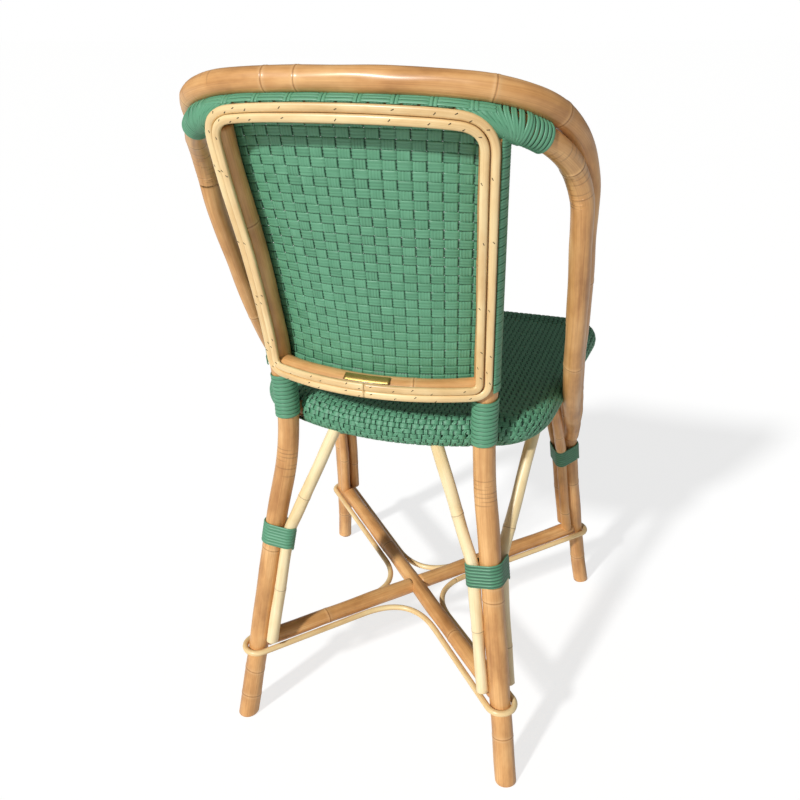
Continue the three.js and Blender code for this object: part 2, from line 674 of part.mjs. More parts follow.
// The woven sheet: flat high blocks in staggered rows
function wovenBlocks(top, bottom) {
  const reach = SEAT_FRONT_HALF + SEAT_BLOCK;
  const columns = Math.ceil((2 * reach) / SEAT_BLOCK);
  const rows = Math.ceil((seatRearY + SEAT_REAR_BOW - SEAT_FRONT_Y + 2 * SEAT_BLOCK) / SEAT_BLOCK);
  const grid = (height) => Array.from({ length: rows }, (_, r) => (
    Array.from({ length: columns }, (__, c) => (
      at(c * SEAT_BLOCK - reach, SEAT_FRONT_Y + (r - 1) * SEAT_BLOCK, height(r, c))))));
  const isHigh = (r, c) => (
    [r, c + Math.floor(r / BLOCK_STEP)].every((line) => line % BLOCK_STEP < BLOCK_STEP - 1));
  const woven = grid((r, c) => (isHigh(r, c) ? top : top - SEAT_RELIEF));
  return slab(woven, grid(() => bottom));
}

function seatWeave() {
  const roll = seatSweep(roundSection(rimR, 2 * POLE_ARC_PARTS));
  const sheetTop = SEAT_Z + rimR - SEAT_SHEET_DIP;
  const outline = new THREE.Shape(seatPlan);
  const plate = new THREE.ExtrudeGeometry(outline, { depth: SEAT_SHEET_T, bevelEnabled: false });
  plate.translate(0, 0, sheetTop - SEAT_SHEET_T);
  const sheet = solid(plate).intersect(wovenBlocks(sheetTop, sheetTop - SEAT_SHEET_T));
  const inner = boxSection(
    -rimR - OVERRUN, SEAT_STRIP_W / 2 + GAP, -rimR - OVERRUN, rimR - SEAT_SHEET_DIP - SEAT_SHEET_T);
  const hollow = seatSweep(inner);
  const windingRooms = rearLines.map((line) => postSleeve(line, GAP));
  const whole = join(cut(roll, hollow), sheet);
  place('seat_weave', cut(whole, seatPoleRoom, ...windingRooms, ...legRooms), greenCord);
}

// Under-frame

// A spot beside a leg: out from its middle line, square to it, at an angle in plan
function beside(line, z, angle, distance) {
  const spot = spotWhere(line, 'z', z);
  const away = at(Math.cos(angle), Math.sin(angle), 0);
  away.addScaledVector(spot.tangent, -away.dot(spot.tangent)).normalize();
  return spot.point.clone().addScaledVector(away, distance);
}

const innerAngle = (side) => (side > 0 ? Math.PI : 0);
const rearRailSpot = (side) => seatSpot('x', side * REAR_BRACE_REACH_X, side, side > 0);
const sideRailSpot = (y) => (side) => seatSpot('y', y, side, side > 0);

function frontRailSpot(side) {
  const share = FRONT_BRACE_REACH_X / (SEAT_FRONT_HALF - SEAT_FRONT_CORNER);
  const bow = (SEAT_FRONT_BOW / 2) * (1 - share ** 2);
  return at(side * FRONT_BRACE_REACH_X, SEAT_FRONT_Y - bow, SEAT_Z);
}

const bracePlans = [
  { leg: 'rear', kind: 'inner', turn: -BRACE_TURN, reach: rearRailSpot },
  { leg: 'rear', kind: 'side', turn: REAR_BRACE_TURN, reach: sideRailSpot(REAR_SIDE_BRACE_Y) },
  { leg: 'front', kind: 'inner', turn: 0, reach: frontRailSpot },
  { leg: 'front', kind: 'side', turn: -FRONT_BRACE_TURN, reach: sideRailSpot(FRONT_SIDE_BRACE_Y) },
];

const bindingZ = { rear: BINDING_Z, front: BINDING_Z + FRONT_BINDING_RISE };
const braceEndZ = { rear: BRACE_END_Z, front: BRACE_END_Z + FRONT_RISE };

function braceLine(plan, i) {
  const side = sides[i][1];
  const line = plan.leg === 'rear' ? rearLines[i] : frontLines[i];
  const legR = plan.leg === 'rear' ? rearR : frontR;
  const angle = innerAngle(side) + side * plan.turn;
  const next = (z) => beside(line, z, angle, legR + braceR + GAP);
  const top = plan.reach(side);
  const boundZ = bindingZ[plan.leg];
  const endZ = braceEndZ[plan.leg];
  const shoulder = next(boundZ + BINDING_H / 4);
  return spline([
    top, top.clone().lerp(shoulder, 0.4), top.clone().lerp(shoulder, 0.8), shoulder,
    next(boundZ), next(boundZ - BINDING_H), next((boundZ + endZ) / 2), next(endZ)]);
}

function legLines(plan) {
  return plan.leg === 'rear' ? rearLines : frontLines;
}

function braces() {
  bracePlans.forEach((plan) => {
    sides.forEach(([name], i) => {
      const body = pole(braceLine(plan, i), braceR, BRACE_STEPS, 4);
      const colour = plan.leg === 'rear' ? paleRattan : rattan;
      const shape = cut(body, seatRimRoom, ...legRooms, hoopRoom, outerHoopRoom, stretcherRoom);
      place(`brace_${plan.leg}_${plan.kind}_${name}`, shape, colour);
    });
  });
}

// Cord bound around a leg and its two braces
function hullAround(line, middleZ, legR, spots) {
  const points = [];
  [middleZ - BINDING_H / 2, middleZ + BINDING_H / 2].forEach((z) => {
    const spot = spotWhere(line, 'z', z);
    const across = REAR.clone().cross(spot.tangent).normalize();
    const deep = spot.tangent.clone().cross(across);
    const ring = (centre, radius) => roundSection(radius + GAP + BINDING_T, 8).forEach((p) => {
      points.push(centre.clone().addScaledVector(across, p.x).addScaledVector(deep, p.y));
    });
    ring(spot.point, legR);
    spots.forEach((angle) => ring(beside(line, z, angle, legR + braceR + GAP), braceR));
  });
  return solid(new ConvexGeometry(points));
}

function bindings() {
  ['rear', 'front'].forEach((leg) => {
    const plans = bracePlans.filter((plan) => plan.leg === leg);
    const legR = leg === 'rear' ? rearR : frontR;
    sides.forEach(([name, side], i) => {
      const line = legLines(plans[0])[i];
      const turns = plans.map((plan) => innerAngle(side) + side * plan.turn);
      const hull = hullAround(line, bindingZ[leg], legR, turns);
      const rooms = plans.map((plan) => pole(braceLine(plan, i), braceR + GAP, BRACE_STEPS, 4));
      const legRoom = (leg === 'rear' ? rearRooms : frontRooms)[i];
      place(`leg_binding_${leg}_${name}`, cut(hull, legRoom, ...rooms), greenCord);
    });
  });
}

// Crossed stretchers: one whole, the other in two halves that butt against it
const frontStretcherZ = STRETCHER_Z + FRONT_RISE;
const lowSpot = (lines, side, z) => spotWhere(lines[side > 0 ? 0 : 1], 'z', z).point;
const rearLow = (side) => lowSpot(rearLines, side, STRETCHER_Z);
const frontLow = (side) => lowSpot(frontLines, side, frontStretcherZ);
const wholeRoom = straightPole(frontLow(1), rearLow(-1), stretcherR + GAP);
const splitRoom = straightPole(frontLow(-1), rearLow(1), stretcherR + GAP);
const stretcherRoom = join(wholeRoom, splitRoom);
const crossShare = rearLow(1).x / (rearLow(1).x + frontLow(1).x);
const crossing = rearLow(1).lerp(frontLow(-1), crossShare);

function stretchers() {
  const whole = straightPole(frontLow(1), rearLow(-1), stretcherR);
  place('stretcher_whole', cut(whole, ...legRooms), rattan);
  [['rear', rearLow(1)], ['front', frontLow(-1)]].forEach(([name, far]) => {
    const half = straightPole(crossing, far, stretcherR);
    place(`stretcher_half_${name}`, cut(half, wholeRoom, ...legRooms), rattan);
  });
}

// The loop strip's closed line: around each leg, along the stretchers and across between them
function loopLine() {
  const clear = GAP + LOOP_STRIP_D / 2;
  const offset = stretcherR + clear;
  const centre = new THREE.Vector2(crossing.x, crossing.y);
  const leg = (line, radius, isFront) => {
    const { x, y } = spotWhere(line, 'z', isFront ? LOOP_Z + FRONT_RISE : LOOP_Z).point;
    const along = new THREE.Vector2(x, y).sub(centre).normalize();
    return { x, y, along, turn: new THREE.Vector2(along.y, -along.x), reach: radius + clear };
  };
  const legs = [
    leg(rearLines[0], rearR, false), leg(frontLines[0], frontR, true),
    leg(frontLines[1], frontR, true), leg(rearLines[1], rearR, false),
  ];
  const spot = (from, direction, length, normal, out) => (
    new THREE.Vector2(from.x, from.y).addScaledVector(direction, length).addScaledVector(normal, out));
  const path = new THREE.Path();
  legs.forEach((here, i) => {
    const next = legs[(i + 1) % legs.length];
    const startAngle = Math.atan2(-here.turn.y, -here.turn.x);
    path.absarc(here.x, here.y, here.reach, startAngle, startAngle - Math.PI, true);
    const slope = Math.tan(here.along.angleTo(next.along) / 2);
    const inner = (LOBE_RADIUS + offset) / slope;
    const leave = spot(centre, here.along, inner, here.turn, offset);
    const arrive = spot(centre, next.along, inner, next.turn, -offset);
    const corner = spot(centre, here.along, offset / slope, here.turn, offset);
    const joint = spot(here, here.along, 0, here.turn, here.reach).lerp(leave, 1 / 2);
    path.lineTo(joint.x, joint.y);
    path.lineTo(leave.x, leave.y);
    path.quadraticCurveTo(corner.x, corner.y, arrive.x, arrive.y);
  });
  path.closePath();
  const tilt = FRONT_RISE / (rearLow(1).y - frontLow(1).y);
  const height = (y) => LOOP_Z + tilt * (rearLow(1).y - y);
  return path.getPoints(BEND_STEPS).slice(0, -1).map((p) => at(p.x, p.y, height(p.y)));
}

function loopStrips() {
  const line = loopLine();
  const half = line.length / 2;
  const firstJoint = 2 * BEND_STEPS + 1;
  [['front', firstJoint], ['rear', firstJoint + half]].forEach(([name, start]) => {
    const points = Array.from({ length: half + 1 }, (_, i) => line[(start + i) % line.length]);
    const last = points.length - 1;
    const length = points[last].distanceTo(points[last - 1]);
    points[last] = points[last].clone().lerp(points[last - 1], LOOP_JOINT / length);
    const body = sweep(points, points.map(() => UP), roundSection(LOOP_STRIP_D / 2, 6));
    place(`loop_strip_${name}`, cut(body, ...legRooms), paleStrip);
  });
}

// A plain curved plate on the rear of the back's bottom rail
function plate() {
  const points = Array.from({ length: 7 }, (_, i) => railPoint(mix(-0.5, 0.5, i / 6) * PLATE_L));
  const lean = at(0, 1, 1).normalize();
  const low = railR + GAP;
  const section = boxSection(-PLATE_W / 2, PLATE_W / 2, low, low + PLATE_T);
  place('blank_plate', sweep(points, points.map(() => lean), section), brass);
}

rearLegs();
frontLegs();
hoops();
backRail();
trims();
backWeave();
windings();
hoopWraps();
seatParts();
seatWeave();
braces();
bindings();
stretchers();
loopStrips();
plate();

// Centre the chair over the origin
const box = new THREE.Box3().setFromObject(chair);
chair.position.y = -(box.min.y + box.max.y) / 2;

export default chair;
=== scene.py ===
# A rattan bistro armchair: bent poles, woven strands, pale nailed strips and cord bindings.
# Metres, +Z up, front of the seat towards -Y, the sitter's left at +X.
import math

import bpy
import numpy as np
from mathutils import Euler, Matrix, Vector

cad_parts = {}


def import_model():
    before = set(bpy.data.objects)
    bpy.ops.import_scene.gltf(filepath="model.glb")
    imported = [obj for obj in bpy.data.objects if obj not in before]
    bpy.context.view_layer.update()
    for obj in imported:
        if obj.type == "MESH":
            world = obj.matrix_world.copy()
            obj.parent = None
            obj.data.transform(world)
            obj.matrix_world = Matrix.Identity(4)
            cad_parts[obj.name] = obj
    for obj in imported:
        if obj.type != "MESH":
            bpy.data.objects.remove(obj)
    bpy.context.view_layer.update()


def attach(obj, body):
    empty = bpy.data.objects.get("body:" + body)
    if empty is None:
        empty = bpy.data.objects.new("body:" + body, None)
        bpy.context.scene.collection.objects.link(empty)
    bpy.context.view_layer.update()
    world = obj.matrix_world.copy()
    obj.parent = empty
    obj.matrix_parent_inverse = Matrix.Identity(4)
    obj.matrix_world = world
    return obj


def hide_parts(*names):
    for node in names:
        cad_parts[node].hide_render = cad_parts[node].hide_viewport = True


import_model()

# Camera, light and floor
LENS = 0.036396  # on a sensor as wide as SENSOR_W
SENSOR_W = 0.036
MILLIMETRES = 1000  # in a metre
CAMERA_AT = (-0.3003, 0.972146, 0.8854)
CAMERA_YAW = math.radians(18.844)
CAMERA_PITCH = math.radians(-24.859)
CAMERA_ROLL = math.radians(-0.39)
CAMERA_SHIFT_Y = 0.0025
SUN_FROM = (0.28, 0.79, 0.55)
SUN_WIDTH = math.radians(4)
SUN_STRENGTH = 3.05
AMBIENT = 0.19
FLOOR_REACH = 60.0
FLOOR_ROUGH = 0.9
FLOOR_GLOW = 1.2  # lifts a floor in full light to white for the camera
FLOOR_GLOW_SHARE = 0.62

# Poles and strips
GAP = 0.0003
REAR_POLE_D = 0.027
FRONT_POLE_D = 0.0235
HOOP_D = 0.0245
HOOP_TIP_D = 0.0215
HOOP_TAPER_SHARE = 0.32  # of the hoop's length, from each tip
SEAT_POLE_D = 0.031
BACK_RAIL_D = 0.024
STRETCHER_D = 0.022
BRACE_D = 0.0155
TRIM_W = 0.0084
TRIM_T = 0.0044
LOOP_STRIP_D = 0.008
SEAT_STRIP_W = 0.009
CROWN_EDGE = 0.3  # height of a split strip's edges as a share of its middle
CROWN_POWER = 0.3

# Rear legs and posts, and the place of the model's own zero along Y
CENTRE_Y = -0.036254
REAR_FOOT = (0.186, 0.261)
REAR_SEAT = (0.1215, 0.190)
POST_TOP_X = 0.139
HOOP_BACK_Y = 0.289
HOOP_TOP_Z = 0.818
BELOW_FLOOR = 0.012
# Shares of the way from the seat to the top rail along each axis, and from the foot to the seat
post_shares = ((0.27, 0.157, 0.25), (0.545, 0.489, 0.584), (0.82, 0.81, 0.824))
leg_shares = (0.3, 0.65, 0.93)

# Front legs
FRONT_FOOT = (0.2245, -0.196)
FRONT_TOP_Y = -0.0785
FRONT_LEG_BOW = 0.0062

# Seat, measured on the middle line of its pole
SEAT_Z = 0.4515
SEAT_FRONT_Y = -0.210
SEAT_FRONT_HALF = 0.192
SEAT_SIDE_HALF = 0.170
SEAT_SIDE_Y = 0.0905
SEAT_REAR_BOW = 0.0265
SEAT_REAR_CORNER_IN = 0.006
SEAT_REAR_CORNER_FORWARD = 0.010
SEAT_FRONT_BOW = 0.005
SEAT_FRONT_CORNER = 0.042
SEAT_WRAP_T = 0.0055
SEAT_SHEET_DIP = 0.003
STRIP_END_GAP = 0.002

# Back
BACK_RAIL_Z = 0.523
BACK_RAIL_BOW = 0.033
TRIM_CORNER = 0.025
TRIM_LOW_CORNER = 0.014
TRIM_JOINT = 0.0006
TRIM_RISE = 0.001
TRIM_LEAN = 0.1  # share of the back's sideways slope that the strips follow

# Hoops
HOOP_OUT = 0.0415  # the hoop's widest spot beyond the seat's rear corner bend
HOOP_TIP_Y = -0.102
HOOP_TIP_Z = 0.326
HOOP_SPACING = 0.0255
HOOP_TOP_SHARE = 0.3  # of the hoop's length from each tip, beyond which it is the top rail
# Inner hoop, as shares of its half width, its depth and its height above its tip
hoop_shares = (
    (0.918, 0, 0), (0.93, 0.055, 0.05), (0.945, 0.16, 0.115), (0.957, 0.28, 0.19),
    (0.969, 0.405, 0.29), (0.979, 0.497, 0.402), (0.989, 0.57, 0.518), (0.995, 0.628, 0.622),
    (0.998, 0.676, 0.709), (1, 0.703, 0.765), (0.994, 0.728, 0.825), (0.96, 0.78, 0.884),
    (0.896, 0.854, 0.932), (0.787, 0.925, 0.967), (0.648, 0.964, 0.986), (0.48, 0.984, 0.995),
    (0.25, 0.997, 0.999), (0, 1, 1),
)
# Where the outer hoop lies from the inner one: shares outwards, forwards and upwards
outer_hoop_shares = (
    (0, 0.6, 0.8), (0, 0.6, 0.8), (0, 0.65, 0.7), (0, 0.75, 0.65), (0, 0.8, 0.6),
    (0.02, 0.85, 0.5), (0.04, 0.9, 0.45), (0.05, 0.9, 0.42), (0.05, 0.9, 0.4),
    (0.05, 0.85, 0.45), (0.06, 0.7, 0.6), (0.08, 0.5, 0.8), (0.12, 0.25, 0.95),
    (0.12, 0.08, 1), (0.08, 0, 1), (0.04, 0, 1), (0, 0, 1), (0, 0, 1),
)

# Under-frame
STRETCHER_Z = 0.118
STRETCHER_SINK = 0.8  # of a leg's radius, where a stretcher starts from its middle
HALF_STRETCHER_SINK = 0.7  # of a stretcher's radius, where a half starts from the whole one
FRONT_RISE = 0.010  # how much higher stretchers, loop strip and braces end at the front legs
BINDING_Z = 0.286
FRONT_BINDING_RISE = 0.005
BRACE_END_Z = 0.127
BRACE_TURN = 0.19  # the braces' places round the legs, in radians
REAR_BRACE_TURN = 1.93
FRONT_BRACE_TURN = 1.04
REAR_BRACE_REACH_X = 0.058
FRONT_BRACE_REACH_X = 0.104
REAR_SIDE_BRACE_Y = 0.086
FRONT_SIDE_BRACE_Y = 0.0155
BRACE_SIDES = 20
LOBE_RADIUS = 0.072
LOOP_Z = 0.1115
LOOP_JOINT_SHARE = 0.16
brace_shares = (0.4, 0.8)  # of the way from the seat to the binding, where its route has points

# Blank plate
PLATE_L = 0.052
PLATE_W = 0.009
PLATE_T = 0.0008
PLATE_TURN = math.radians(54)  # how far up round the rail it lies

# Windings and bindings
WINDING_T = 0.0018
WINDING_TURNS = 12
WINDING_BOTTOM_Z = 0.449
WINDING_BELOW_RAIL = 0.0095
BINDING_T = 0.0022
BINDING_H = 0.034
BINDING_TURNS = 7
HOOP_BINDING_T = 0.0024
HOOP_BINDING_FROM_X = 0.161
HOOP_BINDING_TO_X = 0.180
CORD_SHARE = 0.97  # of the room for one turn that the cord fills
# painted shade on the sides of each cord turn, where it meets the next turn
CORD_SIDE_SHADE = 0.9
CORD_SIDE_SHADE_POWER = 10

# Fans of strands at the top corners of the back
FAN_STRANDS = 11
FAN_STRAND_W = 0.0056
FAN_RIBS = 2
FAN_LIFT = 0.0015
FAN_STEP = 0.00009  # how much each strand of a fan lies over the one before
FAN_LOW_X = (0.1480, 0.1606)
FAN_HIGH_X = (0.1040, 0.1614)
FAN_FROM = math.radians(-70)
FAN_BACK_SHARE = 0.75  # of the way round, by which a strand is back in the corner

# Strands of the back
BACK_COLUMNS = 18
BACK_ROWS = 30
BACK_WARP_W = 0.0130
BACK_WARP_RIBS = 4
BACK_WEFT_W = 0.0097
BACK_WEFT_RIBS = 3
BACK_STRAND_T = 0.0010
BACK_SHEET_T = 0.0022
BACK_WAVE = 0.00085
BACK_EDGE_SHARE = 0.07  # of the back's height, where the sheet nears a rail
FLAT_COLUMN_SHARE = 0.4  # of a column beside each post, where the rows lie flat

# Strands along the top rail, which dip under pairs of short strands
TOP_WEFT_W = 0.0034
TOP_LIFT = 0.00055
TOP_WAVE = 0.0005
TOP_DIP_REACH = 0.12  # of the room from pair to pair
TOP_PAIR_PITCH = 0.034
TOP_PAIR_SPACING = 0.0038
TOP_PAIR_STRAND_W = 0.00342
TOP_PAIR_LIFT = 0.0009
TOP_PAIR_REACH = 1.02  # as a share of the way down to the strips
top_turn_shares = (0.2, 0.5, 0.8)

# Strands of the seat
SEAT_WARP_PITCH = 0.00725
SEAT_ROW_PITCH = 0.006
SEAT_WARP_W = 0.0042
SEAT_WARP_RIBS = 2
SEAT_WEFT_W = 0.0056
SEAT_WEFT_RIBS = 3
SEAT_STRAND_T = 0.0013
SEAT_WAVE = 0.0009
SEAT_BOW_POWER = 1.5
LEG_CLEAR = 0.004

# Ribs, crossings and their tones: 0 is plain, up to 1 lighter and down to -1 dark; on the strands the dark is
# painted shade
RIB_H = 0.0005
# painted shade in the valleys between a strand's ribs
RIB_VALLEY_SHADE = 0.32
CROSSING_SLOPE = 2.4
# painted shadow beside the back's crossings: its reach, its weaker share on one side and its depth
GROOVE_REACH = 0.42
GROOVE_WEAK_SHARE = 0.25
GROOVE_SHADE = 0.9
# the wave below which a strand dipping under a neighbour gets painted shade
DIP_SHADE_FROM = 0.35
STRAND_TINT = 0.5

# Growth rings, wrinkles and the uneven surface of a pole
RING_SWELL = 0.0005
RING_SWELL_REACH = 0.0025
RING_CUT = 0.0004
RING_CUT_W = 0.0007
RING_DARK_W = 0.00084
RING_GLOW = 0.35
RING_GLOW_REACH = 0.003125
HOOP_TILT = 0.06
LEG_TILT = 0.08
THIN_TILT = 0.1
WRINKLE_CUT = 0.00018
# painted shade in a wrinkle's crease
WRINKLE_SHADE = 0.55
WOBBLE = 0.00022
WOBBLE_WAVES = ((0.31, 1), (0.17, 2), (0.09, 3))  # a wave's length, and how many go round
END_BEVEL = 0.0016
ring_shares = {
    "inner_hoop": (0.07, 0.19, 0.36, 0.5, 0.655, 0.83, 0.94),
    "outer_hoop": (0.1, 0.235, 0.385, 0.455, 0.475, 0.585, 0.63, 0.77, 0.9),
    "rear_leg_left": (0.055, 0.105, 0.335, 0.62, 0.86),
    "rear_leg_right": (0.095, 0.32, 0.345, 0.6, 0.83),
    "front_leg_left": (0.16, 0.52, 0.81),
    "front_leg_right": (0.16, 0.52, 0.81),
    "back_bottom_rail": (0.3,),
    "stretcher_whole": (0.37, 0.78),
}
HALF_RING_SHARE = 0.6  # of a half stretcher's own length
brace_ring_shares = ((0.3, 0.42), (0.7, 0.9))  # the range that each ring lies in
# Runs of wrinkles: the shares where each starts and ends, and how many it has
wrinkle_shares = {
    "inner_hoop": ((0.624, 0.688, 15), (0.318, 0.35, 8)),
    "outer_hoop": ((0.386, 0.402, 4), (0.412, 0.424, 3)),
    "rear_leg_left": ((0.462, 0.506, 8),),
    "rear_leg_right": ((0.462, 0.506, 8),),
}

# Nails of the pale strips
NAIL_L = 0.0028
NAIL_W = 0.0011
NAIL_OUT = 0.00025
NAIL_TURN = math.radians(35)
NAIL_TURN_SPREAD = 0.3  # in radians
# Shares of the way round from the joint, and across the strip from its middle
nail_shares = (
    (0.004, 0.2), (0.02, -0.25), (0.05, 0.1), (0.062, -0.2), (0.09, 0.25), (0.115, -0.1), (0.135, 0.2),
    (0.145, -0.2), (0.19, 0.15), (0.2, -0.2), (0.26, 0.2), (0.33, -0.2), (0.335, 0.2), (0.365, -0.15),
    (0.385, 0.25), (0.396, -0.2), (0.405, 0.15), (0.418, -0.1), (0.45, 0.05), (0.5, -0.05),
    (0.55, 0.1), (0.582, 0), (0.6, 0.2), (0.612, -0.2), (0.625, 0.1), (0.665, -0.2), (0.72, 0.15),
    (0.79, -0.15), (0.84, 0.2), (0.858, -0.2), (0.87, 0.2), (0.9, -0.1), (0.93, 0.25), (0.95, -0.2),
    (0.97, 0.1), (0.994, -0.2),
)

# Colours, as red, green and blue out of 255, and ramps of them over a grain
cane_ramps = {
    "rattan": ((0.3, (192, 138, 82)), (0.48, (220, 165, 103)), (0.66, (236, 186, 124))),
    "pale_rattan": ((0.3, (234, 206, 150)), (0.48, (247, 226, 178)), (0.66, (252, 236, 194))),
    "pale_strip": ((0.3, (224, 187, 128)), (0.48, (241, 208, 151)), (0.66, (249, 224, 170))),
}
vein_shares = {"rattan": 0.3, "pale_rattan": 0.16, "pale_strip": 0.2}
vein_ramp = ((0.36, (176, 138, 98)), (0.54, (255, 255, 255)))
streak_ramp = ((0.34, (196, 164, 130)), (0.58, (255, 254, 250)))
strand_ramp = ((0.3, (90, 150, 116)), (0.7, (103, 164, 129)))
strand_line_ramp = ((0.35, (206, 224, 214)), (0.6, (255, 255, 255)))
brass_ramp = ((0.35, (150, 122, 62)), (0.65, (206, 180, 108)))
nail_ramp = ((0.3, (34, 24, 18)), (0.7, (70, 52, 38)))
# dark of the growth rings, and also the painted shade in wrinkle creases
RING_MARK_AND_CREASE_SHADE = (104, 62, 32)
GLOW_COLOUR = (244, 208, 156)
STRAND_LIGHT = (124, 184, 150)
# colour of the painted shade on the green strands
STRAND_SHADE_COLOUR = (14, 40, 28)
FLOOR_COLOUR = (250, 250, 249)

# Grains: changes per metre across and along, where they start, detail and roughness
grains = {
    "streaks": ((1100, 9, 1), (0, 0, 0), 4, 0.55),
    "veins": ((170, 4, 1), (3, 1, 0), 3, 0.55),
    "blotches": ((34, 13, 1), (9, 4, 0), 4, 0.6),
    "strand lines": ((1700, 14, 1), (0, 0, 0), 2, 0.55),
    "strand clouds": ((60, 30, 1), (2, 7, 0), 3, 0.55),
    "brushed": ((500, 4000, 1), (0, 0, 0), 2, 0.55),
    "spots": ((2500, 2500, 1), (0, 0, 0), 2, 0.55),
}

# Gloss: ranges of roughness over a grain, metal, coats and relief
GRAIN_SPAN = (0.3, 0.7)
CANE_ROUGH = (0.34, 0.5)
CANE_COAT = 0.25
CANE_COAT_ROUGH = 0.22
RING_MARK_AND_CREASE_SHARE = 0.85
GLOW_TONE = 0.4  # the tone from which the glow beside a ring is full
GLOW_SHARE = 0.4
STRAND_ROUGH = (0.42, 0.54)
STRAND_COAT = 0.05
STRAND_COAT_ROUGH = 0.3
STRAND_LIGHT_SHARE = 0.5
STRAND_LINE_SHARE = 0.7
STRAND_SHADE = 0.95
BRASS_ROUGH = (0.28, 0.45)
BRASS_METAL = 0.9
NAIL_ROUGH = (0.45, 0.65)
NAIL_METAL = 0.6
STREAK_RELIEF = 0.00012
STREAK_STRENGTH = 0.6
LINE_RELIEF = 0.00008

# How far along each piece's grain starts, so that no two look alike
GRAIN_SPREAD = 9
HOOP_GRAIN = 1
REAR_LEG_GRAIN = 2
FRONT_LEG_GRAIN = 3
SEAT_STRIP_GRAIN = 3
TRIM_GRAIN = 4
RAIL_GRAIN = 5
STRETCHER_GRAIN = 7
HALF_GRAIN = 9

# Fineness
SEED = 7
STATION = 0.004  # between two rings of points on a pole
RING_STATION = 0.0006  # the same beside a growth ring
RING_REACH = 0.005
SAME_SPOT = 1e-9
TINY = 1e-12
FINE = 4000
SPLINE_STEPS = 40
BEND_STEPS = 24
BOW_STEPS = 25
POLE_SIDES = 28
CORD_SIDES = 14
NAIL_SIDES = 6
NAIL_STEPS = 7
CUTTER_SIDES = 64
CUTTER_STEPS = 3
RAIL_STEPS = 80
SEAT_POLE_STEPS = 260
SEAT_POLE_SIDES = 20
DISC_STEPS = 48
TURN_STEPS = 72
WINDING_STEPS = 40
FAN_STEPS = 49
TRIM_END_STEPS = 30
TRIM_POST_STEPS = 60
TRIM_STEPS = 420
CROWN_STEPS = 11
RIB_STEPS = 3
ROUND_RIB_STEPS = 6
COLUMN_STEPS = 12
ROW_STEPS = 8
FOLD_STEPS = 15
TOP_STEPS = 240
PAIR_STEPS = 16
OUTLINE_STEPS = 601
CROSSING_STEPS = 3
LEAST_RUN = 3
STRIP_FRONT_STEPS = 200
STRIP_REAR_STEPS = 150
LOOP_STEPS = 24
PLATE_STEPS = 24

rear_r = REAR_POLE_D / 2
front_r = FRONT_POLE_D / 2
hoop_r = HOOP_D / 2
seat_r = SEAT_POLE_D / 2
rail_r = BACK_RAIL_D / 2
stretcher_r = STRETCHER_D / 2
brace_r = BRACE_D / 2
rim_r = seat_r + GAP + SEAT_WRAP_T
UP = np.array((0.0, 0.0, 1.0))
REAR = np.array((0.0, 1.0, 0.0))
SIDES = (("left", 1), ("right", -1))
MIDDLE = 0.5
random = np.random.default_rng(SEED)


# Curves

def at(x, y, z):
    return np.array((x, y, z), float)


def mix(a, b, share):
    return a + (b - a) * share


def hump(away, reach):
    """A smooth bump of 1 that has faded at twice its reach."""
    return np.exp(-((away / reach) ** 2))


def unit(v):
    v = np.asarray(v, float)
    return v / np.maximum(np.linalg.norm(v, axis=-1, keepdims=True), TINY)


def square_to(direction, along):
    """The part of a direction that is square to another, as a unit vector."""
    return unit(direction - along * np.sum(direction * along, axis=-1, keepdims=True))


def mirror(points, side):
    return np.asarray(points) * (side, 1, 1)


def level(plan, z):
    """Plan points as points in space, all at one height."""
    return np.column_stack([plan, np.full(len(plan), z)])


def lengths(points):
    """How far along a row of points each one lies."""
    return np.concatenate([[0.0], np.cumsum(np.linalg.norm(np.diff(points, axis=0), axis=1))])


def follow(value, points, axis):
    """The coordinates of a row of points where the one along axis, which grows, has a value."""
    return [np.interp(value, points[:, axis], column) for column in points.T]


def spline(points):
    p = np.asarray(points, float)
    p = np.vstack([2 * p[0] - p[1], p, 2 * p[-1] - p[-2]])
    t = np.linspace(0, 1, SPLINE_STEPS, endpoint=False)[:, None]
    out = []
    for a, b, c, d in zip(p, p[1:], p[2:], p[3:]):
        s0, s1, s2 = (np.linalg.norm(v) ** 0.5 for v in (b - a, c - b, d - c))
        t1 = ((b - a) / s0 - (c - a) / (s0 + s1) + (c - b) / s1) * s1
        t2 = ((c - b) / s1 - (d - b) / (s1 + s2) + (d - c) / s2) * s1
        out.append(b + t1 * t + (3 * (c - b) - 2 * t1 - t2) * t**2 + (2 * (b - c) + t1 + t2) * t**3)
    return np.vstack([*out, p[-2:-1]])


def bend(a, corner, b, steps=BEND_STEPS):
    t = np.linspace(0, 1, steps)[:, None]
    a, corner, b = (np.asarray(v, float) for v in (a, corner, b))
    return (1 - t) ** 2 * a + 2 * t * (1 - t) * corner + t**2 * b


